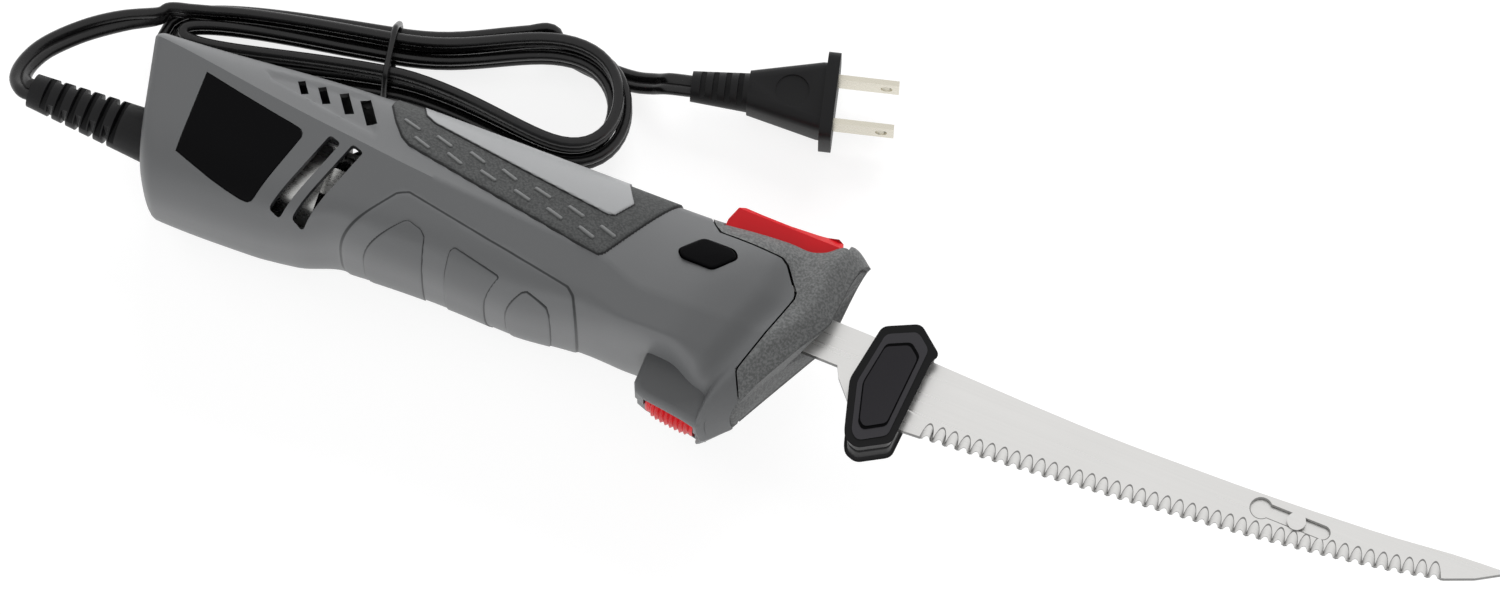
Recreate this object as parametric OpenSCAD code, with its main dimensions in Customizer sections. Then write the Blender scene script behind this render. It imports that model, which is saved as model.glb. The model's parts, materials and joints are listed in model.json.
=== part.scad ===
/* [Handle] */
// Length of the motor end, from the back to where the belly steps up
rear_l = 58; // [55:1:62]
// Length of the finger grip, from the step to the button hood
grip_l = 97; // [94:1:106]
// Length of the nose, from the hood to the peak of the flared lip
nose_l = 40.5; // [38:0.5:44]
// Length of the rolled band in front of the lip's peak
lip_l = 5.5; // [4:0.5:7]
// Width of the handle across its two flat sides
body_w = 44; // [43:0.5:48]
// Width of the nose across the peak of the lip
nose_w = 25.2; // [24:0.2:27]
// Height of the spine over the datum line at the motor
rear_top = 28.3; // [27.5:0.1:30]
// Height of the spine over the datum line at the grip
grip_top = 30.5; // [30:0.1:32]
// Height of the flared lip over the datum line
lip_top = 38.3; // [37.5:0.1:40]
// Depth of the belly under the datum line at the motor
rear_low = 24.4; // [24:0.1:26]
// Depth of the belly under the datum line at the grip
grip_low = 16.3; // [16:0.1:18]
// Depth of the flared lip under the datum line
lip_low = 27.6; // [27.4:0.1:29]
// Wall of the moulded shells
wall = 2.5; // [2:0.1:3]
// Radius round the back edge
edge_r = 3; // [2:0.1:4]
// Gap along the seams between moulded pieces
seam_gap = 0.5; // [0.3:0.1:0.8]
// Thickness of the soft grip skins
skin_t = 0.7; // [0.5:0.1:1]
// Thickness of the label plates
label_t = 0.5; // [0.4:0.1:0.7]
// Width of each side vent
vent_w = 3.6; // [3:0.1:3.9]
// Length of each side vent
vent_l = 24; // [20:1:25]
// Distance between the side vents
vent_pitch = 6.6; // [6:0.1:7]
// Number of spine vents
spine_vents = 4; // [2:1:4]
// Width of each spine vent
spine_vent_w = 1.9; // [1.5:0.1:2.4]
/* [Blades] */
// Length of blade beyond the lip
blade_l = 187.5; // [170:0.5:200]
// Thickness of each blade
blade_t = 0.9; // [0.7:0.1:1.1]
// Gap between the two blades
blade_gap = 0.3; // [0.3:0.05:0.4]
// Width of a tang
tang_w = 11.5; // [10.5:0.5:12]
// Number of ground flutes on each blade
flutes = 41; // [20:1:43]
// Distance between flutes
flute_pitch = 3.45; // [3.2:0.05:3.6]
// Radius of the grinding wheel's edge
flute_r = 2; // [1.9:0.1:2.4]
// Stroke of each blade to either side of its middle
stroke = 3; // [2:0.5:3]
// Radius of the rivet near the tip
rivet_r = 1.5; // [1:0.1:1.6]
// Half thickness of the pair of hubs
hub_t = 6.5; // [5.5:0.5:7]
/* [Controls] */
// Width of the power paddle
paddle_w = 12; // [10:0.5:13]
// Length of the power paddle
paddle_l = 31.3; // [28:0.1:31.5]
// Angle that the paddle goes down
paddle_angle = 6; // [4:0.5:6]
// Radius of the paddle's pin
pin_r = 1.1; // [1:0.1:1.2]
// Width of the blade release button
release_w = 11; // [9:0.5:12]
// Travel of the release button
release_travel = 3; // [2:0.5:3]
// Travel of the lock button
lock_travel = 2; // [1:0.5:2]
// Running clearance of buttons in their openings
button_gap = 0.35; // [0.3:0.05:0.5]
/* [Drive] */
// Radius of the motor can
can_r = 15.5; // [14:0.5:15.5]
// Length of the motor can
can_l = 38; // [34:1:38]
// Radius of the motor shaft
shaft_r = 2; // [1.5:0.1:2.2]
// Teeth on the worm wheel
wheel_teeth = 30; // [24:1:36]
// Outer radius of the worm wheel
wheel_r = 9.6; // [9:0.1:9.8]
// Thickness of the worm wheel
wheel_t = 7; // [6:0.5:7.5]
// Radius of the worm wheel's axle
axle_r = 2; // [1.5:0.1:2.2]
// Thickness of each crank disc
crank_t = 2; // [1.5:0.1:2.2]
// Running clearance of shafts and bearings
run_gap = 0.05; // [0.03:0.01:0.08]
/* [Cord] */
// Width of the flat twin cord
cord_w = 6.2; // [5.6:0.1:6.4]
// Thickness of the flat twin cord
cord_t = 3; // [2.8:0.1:3.1]
// Length of the strain relief
relief_l = 34; // [28:1:38]
// Distance from turn to turn in the hank
hank_pitch = 3.8; // [3.7:0.1:4.2]
// Turns in the upper layer of the hank
top_turns = 1.125; // [1.125:1:2.125]
// Turns in the lower layer of the hank
low_turns = 2.125; // [1.125:1:2.125]
/* [Hidden] */

// Colours
grey = [0.46, 0.47, 0.48];
pad_grey = [0.42, 0.43, 0.44];
black = [0.09, 0.09, 0.1];
hub_grey = [0.2, 0.2, 0.21];
red = [0.78, 0.1, 0.14];
steel = [0.82, 0.82, 0.8];
copper = [0.72, 0.42, 0.25];
brass = [0.78, 0.66, 0.36];
board_green = [0.1, 0.35, 0.2];
white = [0.9, 0.9, 0.88];

// Places along the handle
half_w = body_w / 2;
step_u = rear_l;
hood_u = rear_l + grip_l;
lip_u = hood_u + nose_l;
mouth_u = lip_u + lip_l;
// Height under which the nose leans back, and height round which the back end leans
bend_y = 13;
lean_y = 20;
// Reach of cutters that go right through the handle
through = 50;

// Places of the drive, which the blades share
blade_y = 11.8;
motor_y = -2.7;
worm_x = step_u + 29;
can_x = 20;
can_end = can_x + can_l;

// A smooth line through a table of places and heights
function slope(t, k) = (t[k + 1][1] - t[k][1]) / (t[k + 1][0] - t[k][0]);
function knot_slope(t, k) =
    k == 0 ? slope(t, 0)
    : k == len(t) - 1 ? slope(t, k - 1)
    : slope(t, k - 1) * slope(t, k) <= 0 ? 0
    : 2 * slope(t, k - 1) * slope(t, k) / (slope(t, k - 1) + slope(t, k));
function span_of(t, u, k = 0) = k >= len(t) - 2 || u < t[k + 1][0] ? k : span_of(t, u, k + 1);
function along(t, u) =
    let (k = span_of(t, u))
    let (h = t[k + 1][0] - t[k][0])
    let (q = max(0, min(1, (u - t[k][0]) / h)))
    (2 * q ^ 3 - 3 * q ^ 2 + 1) * t[k][1] + (q ^ 3 - 2 * q ^ 2 + q) * h * knot_slope(t, k)
    + (3 * q ^ 2 - 2 * q ^ 3) * t[k + 1][1] + (q ^ 3 - q ^ 2) * h * knot_slope(t, k + 1);

// Side view of the handle: spine, belly and the crease between side and upper facet
spine_line = [[0, 20], [step_u + 6, rear_top], [step_u + 66, grip_top - 0.4], [hood_u + 1, grip_top + 0.5],
    [hood_u + 22, grip_top + 2.1], [lip_u - 5.5, lip_top - 3.1], [lip_u, lip_top],
    [mouth_u, lip_top - 3.3]];
belly_line = [[0, -20], [6, -rear_low - 0.4], [step_u - 14, 0.8 - rear_low], [step_u - 1, 2.7 - rear_low],
    [step_u + 11, -grip_low - 0.9], [step_u + 42, -grip_low + 0.1], [step_u + 58, -grip_low - 0.1],
    [step_u + 79, -grip_low + 2.5], [hood_u, -grip_low + 3.6], [hood_u + 10, -grip_low + 3.3],
    [hood_u + 23, -grip_low - 0.2], [lip_u - 7.5, -grip_low - 3.2], [lip_u, -lip_low],
    [mouth_u, 6.6 - lip_low]];
crease_line = [[0, 15], [step_u - 14, 9.6], [step_u + 11, 7.4], [step_u + 24, 6.5], [step_u + 78, 3],
    [hood_u - 5, -1], [hood_u + 15, 0], [mouth_u, 5]];
// Half width, from the flat sides at the motor to the waisted grip and the lip
width_line = [[0, half_w - 2], [12, half_w - 0.4], [25, half_w], [step_u + 4, half_w],
    [step_u + 22, half_w - 1], [step_u + 52, half_w - 1.6], [hood_u + 5, half_w - 1.6],
    [hood_u + 23, half_w - 4.4], [lip_u - 6.5, nose_w / 2 + 1], [lip_u, nose_w / 2],
    [mouth_u, nose_w / 2 - 3.6]];
// How full the shoulders are beside the spine
shoulder_line = [[0, 0.5], [hood_u, 0.5], [hood_u + 20, 0.75], [mouth_u, 0.85]];
// How far the nose is swept back to its sides
prow_line = [[hood_u + 10, 0], [lip_u - 8.5, 0.16], [lip_u, 0.3], [mouth_u, 0.33]];
// Angle of the upper facet, and height of the flat side under the crease
facet_line = [[0, 36], [step_u, 36], [step_u + 42, 30], [step_u + 78, 20], [hood_u + 5, 12],
    [mouth_u, 12]];
flat_line = [[0, 18], [step_u, 16], [step_u + 42, 9], [mouth_u, 8]];
// How far each section leans along the handle, for each unit of height
rear_lean = [[0, 0.29], [30, 0.12], [50, 0]];
front_lean = [[hood_u - 5, 0], [hood_u + 10, 0.12], [hood_u + 23, 0.25], [lip_u - 7.5, 0.36],
    [lip_u, 0.43], [mouth_u, 0.48]];
// How square the lower corners are
corner_power = 2.8;

// One side's outline at a place along the handle, from the spine round to the belly
function half_section(u, inset, n_up, n_low) =
    let (top = along(spine_line, u) - inset)
    let (low = along(belly_line, u) + inset)
    let (w = along(width_line, u) - inset)
    let (crease = along(crease_line, u))
    let (flat_end = crease - along(flat_line, u))
    let (facet = tan(along(facet_line, u)))
    let (reach = 0.5 * (top - crease))
    let (full = along(shoulder_line, u))
    concat(
        [for (j = [0:n_up])
            let (q = j / n_up)
            let (a = (1 - q) ^ 3, b = 3 * q * (1 - q) ^ 2, c = 3 * q ^ 2 * (1 - q), d = q ^ 3)
            [(a + b) * top + c * (crease + reach) + d * crease,
                b * full * w + c * (w - reach * facet) + d * w]],
        [for (j = [0:n_low])
            let (q = 90 * j / n_low)
            [flat_end - (flat_end - low) * sin(q) ^ (2 / corner_power),
                w * cos(q) ^ (2 / corner_power)]]
    );
function lean(u, y, z) =
    u + along(rear_lean, u) * (lean_y - y) - along(front_lean, u) * max(0, bend_y - y)
    - along(prow_line, u) * z;
// Spans of a half ring over and under the crease, for outer faces and for linings
fine_spans = [7, 8];
rough_spans = [3, 4];
function half_ring(u, inset, fine = true) =
    let (spans = fine ? fine_spans : rough_spans)
    [for (p = half_section(u, inset, spans[0], spans[1])) [lean(u, p[0], p[1]), p[0], p[1]]];
function full_ring(u, inset, fine = true) =
    let (half = half_ring(u, inset, fine))
    concat(half, [for (j = [len(half) - 2:-1:1]) [half[j][0], half[j][1], -half[j][2]]]);
function round_off(u) = u < edge_r ? edge_r - sqrt(edge_r ^ 2 - (edge_r - u) ^ 2) : 0;
function middle(ring) =
    [for (k = [0:2]) (min([for (p = ring) p[k]]) + max([for (p = ring) p[k]])) / 2];

// Faces turned over, so that they look outwards
function turned(faces) = [for (f = faces) [f[2], f[1], f[0]]];

// Places of the sections along the handle
back_u = [0, 0.15 * edge_r, 0.5 * edge_r, edge_r];
shell_u = concat(back_u, [6, 11, 18, 26, 36, 46],
    [for (d = [-4, 0, 4, 8, 12, 20, 30, 42, 54, 66, 78, 88]) step_u + d],
    [for (d = [0, 7, 14, 21, 27]) hood_u + d],
    [for (d = [-8.5, -5.5, -3, -1, 0, 0.6]) lip_u + d], [mouth_u]);

// One half of the handle as a closed wall with a flat rim on the parting plane
module half_shell() {
    first = len(back_u) - 1;
    m = len(shell_u);
    n = fine_spans[0] + fine_spans[1] + 2;
    k = rough_spans[0] + rough_spans[1] + 2;
    q = m * n;
    cap_at = q + (m - first) * k;
    points = concat(
        [for (u = shell_u) each half_ring(u, round_off(u))],
        [for (i = [first:m - 1]) each half_ring(shell_u[i], wall, false)],
        [middle(half_ring(0, edge_r)), middle(half_ring(edge_r, wall, false))]);
    skin = [for (i = [0:m - 2]) for (j = [0:n - 2]) let (a = i * n + j)
        each [[a, a + 1, a + 1 + n], [a, a + 1 + n, a + n]]];
    lining = [for (i = [0:m - first - 2]) for (j = [0:k - 2]) let (a = q + i * k + j)
        each [[a, a + 1 + k, a + 1], [a, a + k, a + 1 + k]]];
    rim = [for (i = [first:m - 2])
        let (p = i * n, s = q + (i - first) * k)
        each [[s, p, p + n], [s, p + n, s + k],
            [p + n - 1, s + k - 1, s + 2 * k - 1], [p + n - 1, s + 2 * k - 1, p + 2 * n - 1]]];
    back = [for (i = [0:first - 2])
        let (a = i * n + n - 1, b = i * n)
        each [[a, b, b + n], [a, b + n, a + n]]];
    b = (first - 1) * n;
    joint = [[b + n - 1, b, b + n], [b + n - 1, b + n, q], [b + n - 1, q, q + k - 1],
        [b + n - 1, q + k - 1, b + 2 * n - 1]];
    cap = [for (j = [0:n - 1]) [cap_at, (j + 1) % n, j]];
    inner_cap = [for (j = [0:k - 1]) [cap_at + 1, q + j, q + (j + 1) % k]];
    e = (m - 1) * n;
    f = q + (m - first - 1) * k;
    mouth = [for (j = [0:k - 2])
        each [[f + j, e + 2 * j, e + 2 * j + 1], [f + j, e + 2 * j + 1, f + j + 1],
            [f + j + 1, e + 2 * j + 1, e + 2 * j + 2]]];
    polyhedron(points, turned(concat(skin, lining, rim, back, joint, cap, inner_cap, mouth)));
}

// A ring wall, open at both ends, between two sets of closed rings with half as many points inside
module ring_wall(us) {
    m = len(us);
    n = 2 * (fine_spans[0] + fine_spans[1] + 1);
    k = n / 2;
    q = m * n;
    points = concat([for (u = us) each full_ring(u, 0)],
        [for (u = us) each full_ring(u, wall, false)]);
    skin = [for (i = [0:m - 2]) for (j = [0:n - 1]) let (a = i * n + j, b = i * n + (j + 1) % n)
        each [[a, b, b + n], [a, b + n, a + n]]];
    lining = [for (i = [0:m - 2]) for (j = [0:k - 1])
        let (a = q + i * k + j, b = q + i * k + (j + 1) % k)
        each [[a, b + k, b], [a, a + k, b + k]]];
    ends = [for (j = [0:k - 1])
        let (c = (2 * j + 2) % n, g = (j + 1) % k, e = (m - 1) * n, f = q + (m - 1) * k)
        each [[q + j, 2 * j + 1, 2 * j], [q + j, q + g, 2 * j + 1], [q + g, c, 2 * j + 1],
            [f + j, e + 2 * j, e + 2 * j + 1], [f + j, e + 2 * j + 1, f + g],
            [f + g, e + 2 * j + 1, e + c]]];
    polyhedron(points, turned(concat(skin, lining, ends)));
}

// A closed solid through rings of points
module loft(rings) {
    n = len(rings[0]);
    m = len(rings);
    points = concat([for (r = rings) each r], [middle(rings[0]), middle(rings[m - 1])]);
    sides = [for (i = [0:m - 2]) for (j = [0:n - 1])
        let (a = i * n + j, b = i * n + (j + 1) % n)
        each [[a, b, b + n], [a, b + n, a + n]]];
    caps = [for (j = [0:n - 1]) each [
        [m * n, (j + 1) % n, j],
        [m * n + 1, (m - 1) * n + j, (m - 1) * n + (j + 1) % n]]];
    polyhedron(points, concat(sides, caps));
}

// A sheet between two grids of points, each a list of rows, outer grid first
module sheet(outer, inner) {
    n = len(outer[0]);
    m = len(outer);
    q = m * n;
    faces = concat(
        [for (i = [0:m - 2]) for (j = [0:n - 2]) let (a = i * n + j)
            each [[a, a + 1, a + 1 + n], [a, a + 1 + n, a + n]]],
        [for (i = [0:m - 2]) for (j = [0:n - 2]) let (a = q + i * n + j)
            each [[a, a + 1 + n, a + 1], [a, a + n, a + 1 + n]]],
        [for (i = [0:m - 2]) let (a = i * n, b = i * n + n - 1)
            each [[a, a + n, a + q], [a + n, a + n + q, a + q],
                [b, b + q, b + n], [b + n, b + q, b + n + q]]],
        [for (j = [0:n - 2]) let (e = (m - 1) * n + j)
            each [[j, j + q, j + 1], [j + 1, j + q, j + 1 + q],
                [e, e + 1, e + q], [e + 1, e + 1 + q, e + q]]]);
    polyhedron(concat([for (r = outer) each r], [for (r = inner) each r]), turned(faces));
}

// A skin that follows the handle's surface, between two heights over it
module skin(us, low, high, j0, j1, both = false) {
    function row(u, by) =
        let (half = [for (j = [j0:j1]) half_ring(u, -by)[j]])
        both ? concat([for (j = [j1 - j0:-1:1]) [half[j][0], half[j][1], -half[j][2]]], half)
        : half;
    sheet([for (u = us) row(u, high)], [for (u = us) row(u, low)]);
}
// Air between a skin and the shell under it
skin_rest = 0.05;
function wall_u(from, to) = [for (u = shell_u) if (u >= from && u <= to) u];

module mirror_z() {
    children();
    mirror([0, 0, 1]) children();
}

// Seam between shells and collar, seen from the side, set back by half the gap
function seam_line(back) = [[hood_u - 4 - back, through], [hood_u + 2.2 - back, 30.5],
    [hood_u + 4.2 - back, 27.6],
    [hood_u + 6.8 - back, 25.6 - back], [hood_u + 24.8, 25.2 - back],
    [hood_u + 26.8 - back / 2, 24 - back],
    [hood_u + 32 - back, 17.2], [hood_u + 32.2 - back, 15.2], [hood_u + 26.3 - back, -9.3],
    [hood_u + 26.4 - back, -10.5], [hood_u + 30 - back, -17], [hood_u + 31 - back, -32],
    [mouth_u + 40, -32], [mouth_u + 40, through]];
module prism(line) translate([0, 0, -through]) linear_extrude(2 * through) polygon(line);
module seam_cut(back) prism(seam_line(back));

// Two long vents in each side and a row of short ones under the spine
vent_x = step_u - 3;
vent_y = -7.3;
vent_tilt = -13;
vent_deep = 16;
module side_vents()
    for (k = [0:1])
        translate([vent_x + k * vent_pitch, vent_y, half_w - 4])
            rotate([0, 0, vent_tilt]) cube([vent_w, vent_l, vent_deep], center = true);
spine_vent_x = step_u - 14;
spine_vent_y = 18.2;
spine_vent_pitch = 6.2;
spine_vent_rise = 0.4;
spine_vent_tilt = 36;
short_vents = 2;
short_vent_l = 6;
long_vent_l = 8.5;
module spine_vent_cuts()
    for (k = [0:spine_vents - 1])
        translate([spine_vent_x + k * spine_vent_pitch, spine_vent_y + k * spine_vent_rise, half_w - 6])
            rotate([0, 0, spine_vent_tilt])
                cube([spine_vent_w, k < short_vents ? short_vent_l : long_vent_l, vent_deep],
                    center = true);

// Places of the case screws, and the posts that they go through
// Each: place along the handle, height, seat of the head and depth of the thread from the parting plane
screw_places = [[9.5, 11, 9, 6], [step_u + 12, 21, 5, 5], [step_u + 46, -10.8, 9, 6],
    [hood_u - 17, 24.5, 4, 4.2]];
screw_r = 1;
head_r = 2.1;
head_h = 1.6;
post_r = 3.3;
post_gap = 0.15;
head_gap = 0.2;
post_bite = 0.5;
function skin_z(u, y) =
    lookup(-y, [for (p = half_section(u, 0, fine_spans[0], fine_spans[1])) [-p[0], p[1]]]);
function post_top(p) = min(skin_z(p[0], p[1] - post_r), skin_z(p[0], p[1] + post_r)) - post_bite;

// Strain relief's place in the back wall
relief_y = -6;
relief_r = 6.6;
neck_r = 4.6;
neck_gap = 0.1;
back_x = rear_lean[0][1] * (lean_y - relief_y);

// Opening and hood of the blade release
release_x = hood_u + 13;
release_len = 14.5;
hood_half = 8;
release_top = -12;
hood_end = hood_u + 23.2;
hood_line = [[hood_u + 1.2, -10.9], [hood_u + 1.6, -20.6], [hood_u + 3, -22.4], [hood_u + 9, -23.2],
    [hood_u + 16, -24.3], [hood_end - 1.4, -25.3], [hood_end, -24.4], [hood_end, -10.9]];
module hood() linear_extrude(hood_half) polygon(hood_line);
module release_cut()
    translate([release_x - release_len / 2 - button_gap, -40, -release_w / 2 - button_gap])
        cube([release_len + 2 * button_gap, 32, release_w + 2 * button_gap]);

// Outline of the lock button, a slanted bar with cut corners
lock_x = hood_u + 6.5;
lock_y = 16.8;
module lock_outline(grow)
    polygon([[-7 - grow, -1.6], [-5.4 - grow, -3.6 - grow], [2.6 + grow, -3.6 - grow],
        [7 + grow, 1.6], [5.4 + grow, 3.6 + grow], [-2.6 - grow, 3.6 + grow]]);

// Ribs that hold the motor and the gear frame, inside one shell
rib_t = 2;
rib_bite = 0.8;
motor_rib = 9;
module ribs() {
    frame_rib = frame_half + 0.2;
    difference() {
        union() {
            for (x = [can_x + 4, can_end - 8])
                translate([x, -8, motor_rib])
                    cube([rib_t, 14, half_w - wall + rib_bite - motor_rib]);
            for (x = [frame_x + 10, frame_end - 14])
                translate([x, -5, frame_rib])
                    cube([rib_t, 8, along(width_line, x) - wall + rib_bite - frame_rib]);
        }
        translate([0, motor_y, 0]) rotate([0, 90, 0])
            cylinder(h = can_end + 2, r = can_r + 0.1, $fn = 64);
    }
}
module posts()
    for (p = screw_places)
        translate([p[0], p[1], post_gap]) cylinder(h = post_top(p) - post_gap, r = post_r, $fn = 48);

// One shell, drawn on the left; the screws enter through the other one
module shell(is_left) {
    difference() {
        union() {
            difference() {
                half_shell();
                seam_cut(seam_gap);
                side_vents();
                spine_vent_cuts();
                label_pocket();
            }
            posts();
            ribs();
            hood();
        }
        release_cut();
        translate([-5, relief_y, 0]) rotate([0, 90, 0])
            cylinder(h = back_x + wall + 10, r = neck_r + neck_gap, $fn = 48);
        if (is_left) {
            translate([lock_x, lock_y, lock_floor - 1]) linear_extrude(40) lock_outline(button_gap);
            for (p = screw_places)
                translate([p[0], p[1], -1]) cylinder(h = p[3] + 1.8, r = screw_r, $fn = 32);
        } else
            for (p = screw_places) {
                translate([p[0], p[1], -1]) cylinder(h = through, r = screw_r + head_gap, $fn = 32);
                translate([p[0], p[1], p[2]]) cylinder(h = through, r = head_r + head_gap, $fn = 32);
            }
    }
}
module left_shell() color(grey) shell(true);
module right_shell() color(grey) mirror([0, 0, 1]) shell(false);

// Collar: the flared front of the handle, open for the paddle on top
collar_u = concat(wall_u(hood_u - 12, hood_u), wall_u(hood_u + 1, mouth_u));
paddle_x = hood_u + 6.2;
paddle_gap = 0.5;
nose_gap = 1.8;
nose_slot_y = 21;
module front_collar() color(pad_grey)
    difference() {
        ring_wall(collar_u);
        translate([0, 0, 1 - through]) linear_extrude(2 * through - 2)
            difference() {
                translate([0, 1 - through]) square([mouth_u + 30, 2 * through - 2]);
                polygon(seam_line(0));
            }
        translate([paddle_x - paddle_gap, nose_slot_y, -paddle_w / 2 - paddle_gap])
            cube([paddle_l + paddle_gap + nose_gap, 30, paddle_w + 2 * paddle_gap]);
    }

// Textured pad over the spine and the upper facet, with the smooth insert in it
pad_line = [[step_u + 7, 45], [step_u + 8, 24], [step_u + 12, 16], [step_u + 17, 13], [step_u + 73, 3.8],
    [step_u + 78, 4.6], [step_u + 92, 31], [step_u + 92, 45]];
insert_line = [[step_u + 14, 45], [step_u + 15, 27], [step_u + 19, 23.2], [step_u + 73, 16.6],
    [step_u + 76, 17], [step_u + 80.5, 22], [step_u + 76, 29], [step_u + 76, 45]];
insert_gap = 0.3;
insert_rise = 0.5;
pad_u = wall_u(step_u, hood_u);
module grip_pad() color(pad_grey)
    difference() {
        intersection() {
            skin(pad_u, skin_rest, skin_rest + skin_t, 0, 7, true);
            prism(pad_line);
        }
        translate([0, 0, -through]) linear_extrude(2 * through)
            offset(delta = insert_gap) polygon(insert_line);
    }
module grip_insert() color(grey)
    intersection() {
        skin(pad_u, skin_rest, skin_rest + skin_t + insert_rise, 0, 6, true);
        prism(insert_line);
    }

// Raised pads on each side of the belly
side_pad_lines = [
    [[step_u + 12.5, -40], [step_u + 14, -13], [step_u + 26, -4], [step_u + 29.5, -4], [step_u + 33, -7],
        [step_u + 34, -40]],
    [[step_u + 38, -40], [step_u + 39, -9], [step_u + 41, -6.4], [step_u + 53, -9.6], [step_u + 54, -12],
        [step_u + 51, -40]],
    [[step_u + 56, -40], [step_u + 60.5, -12], [step_u + 62.5, -11.2], [step_u + 68, -12.6],
        [step_u + 69, -40]]];
module side_pads() color(grey)
    intersection() {
        skin(pad_u, skin_rest, skin_rest + skin_t, 8, 15);
        linear_extrude(60) for (line = side_pad_lines) polygon(line);
    }
module left_side_pads() side_pads();
module right_side_pads() mirror([0, 0, 1]) side_pads();

// Plain plates where the label sits, drawn as columns from the upper to the lower edge
label_columns = [[[19.5, 9.6], [20.8, -13.4]], [[27, 8.2], [26.5, -15.2]], [[34, 7], [32, -16.8]],
    [[40, 6], [37, -17.9]], [[46, 5.1], [41.5, -18.6]], [[48.6, 4.6], [43.4, -18.6]],
    [[49.6, 3.6], [44.4, -18]], [[49.8, 2.4], [44.9, -16.9]]];
label_rows = 8;
label_gap = 0.3;
label_centre = [34, -4.5];
label_reach = 14;
function side_u(x, y) =
    let (guess = x - along(rear_lean, x) * (lean_y - y))
    x - along(rear_lean, guess) * (lean_y - y);
function side_z(x, y) = skin_z(side_u(x, y), y);
// The plate between two heights over the surface, grown outwards from its middle
module label_sheet(low, high, grow) {
    grid = [for (c = label_columns) [for (j = [0:label_rows])
        let (p = c[0] + (c[1] - c[0]) * j / label_rows)
        let (q = p + (p - label_centre) * grow / label_reach)
        [q[0], q[1], side_z(q[0], q[1])]]];
    sheet([for (c = grid) [for (p = c) p + [0, 0, high]]],
        [for (c = grid) [for (p = c) p + [0, 0, low]]]);
}
module label_plate() color(black) label_sheet(-label_t, 0, 0);
module label_pocket() label_sheet(-label_t - label_gap, 3, label_gap);
module left_label_plate() label_plate();
module right_label_plate() mirror([0, 0, 1]) label_plate();

// Plate inside the mouth with the slot for the two tangs
seal_u = lip_u - 12;
seal_gap = 0.4;
seal_low = -8.2;
module mouth_seal() color(black)
    difference() {
        loft([for (u = [seal_u + 2.5, seal_u]) full_ring(u, wall + seal_gap, false)]);
        translate([seal_u - 30, blade_y - tang_w / 2 - 0.6, -blade_t - blade_gap])
            cube([60, tang_w + 1.2, 2 * (blade_t + blade_gap)]);
        translate([seal_u - 30, bracket_y - 0.4, -40]) cube([60, 40, 80]);
        translate([seal_u - 60, seal_low - 40, -40]) cube([90, 40, 80]);
    }

// Power paddle, with its hinge at the back end
hinge_x = paddle_x + 2.6;
hinge_y = 23.2;
paddle_boss = 2.2;
ear_in = paddle_w / 2 + 0.3;
ear_out = ear_in + 1.2;
ear_r = 1.7;
paddle_top = [[paddle_x, 31.2], [paddle_x + 1.4, 35.4], [paddle_x + 3, 36.3], [paddle_x + 8, 36.1],
    [paddle_x + 16, 36.1], [paddle_x + 24, 36.9], [paddle_x + paddle_l - 2, 37.9],
    [paddle_x + paddle_l - 0.5, 37.3], [paddle_x + paddle_l, 36]];
paddle_floor = 28.4;
bracket_y = 19.2;
bracket_t = 1.5;
switch_x = paddle_x + 9;
switch_l = 12;
switch_h = 5.4;
switch_top = bracket_y + bracket_t + switch_h;
plunger_r = 1.2;
plunger_h = paddle_floor - switch_top - 0.3;
plunger_arm = switch_x + switch_l / 2 - hinge_x;
plunger_travel = plunger_arm * paddle_angle * PI / 180;
spring_x = paddle_x + paddle_l - 5.5;
paddle_spring_r = 2.2;
module power_paddle() color(red)
    difference() {
        union() {
            translate([0, 0, -paddle_w / 2]) linear_extrude(paddle_w)
                polygon(concat(paddle_top, [[paddle_x + paddle_l, 30], [spring_x + 4, paddle_floor],
                    [hinge_x + 3.4, paddle_floor], [hinge_x + paddle_boss - 0.2, hinge_y],
                    [hinge_x - paddle_boss + 0.2, hinge_y], [paddle_x, 28.5]]));
            translate([hinge_x, hinge_y, -paddle_w / 2])
                cylinder(h = paddle_w, r = paddle_boss, $fn = 32);
        }
        translate([hinge_x, hinge_y, -20]) cylinder(h = 40, r = pin_r + run_gap, $fn = 32);
        mirror_z() translate([paddle_x - 5, 35.2, -paddle_w / 2]) rotate([-45, 0, 0]) cube([60, 3, 3]);
    }
pin_half = ear_out - 0.1;
module paddle_pin() color(steel)
    translate([hinge_x, hinge_y, -pin_half]) cylinder(h = 2 * pin_half, r = pin_r, $fn = 32);

// A wound spring along Z, from the floor up
module spring(r, wire, height, turns) {
    steps = 8;
    n = 4;
    total = turns * steps;
    rise = (height - wire) / total;
    points = [for (i = [0:total]) for (j = [0:n - 1])
        let (a = 360 * i / steps, c = 45 + 360 * j / n)
        [(r + wire * 0.7 * cos(c)) * cos(a), (r + wire * 0.7 * cos(c)) * sin(a),
            wire / 2 + i * rise + wire * 0.7 * sin(c)]];
    faces = concat(
        [for (i = [0:total - 1]) for (j = [0:n - 1])
            let (a = i * n + j, b = i * n + (j + 1) % n)
            each [[a, b + n, b], [a, a + n, b + n]]],
        [[0, 1, 2], [0, 2, 3]],
        [let (e = total * n) each [[e, e + 2, e + 1], [e, e + 3, e + 2]]]);
    polyhedron(points, turned(faces));
}
spring_wire = 0.6;
seat_gap = 0.3;
module paddle_spring() color(steel)
    translate([spring_x, bracket_y + bracket_t + seat_gap, 0]) rotate([-90, 0, 0])
        spring(paddle_spring_r, spring_wire, paddle_floor - bracket_y - bracket_t - 2 * seat_gap, 5);
module power_switch() color(black)
    difference() {
        translate([switch_x, bracket_y + bracket_t, -3]) cube([switch_l, switch_h, 6]);
        translate([switch_x + switch_l / 2, switch_top + 1, 0]) rotate([90, 0, 0])
            cylinder(h = 3.5, r = plunger_r + 0.1, $fn = 24);
    }
module switch_plunger() color(white)
    translate([switch_x + switch_l / 2, switch_top + plunger_h, 0]) rotate([90, 0, 0])
        cylinder(h = plunger_h + 1, r = plunger_r, $fn = 24);

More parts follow.
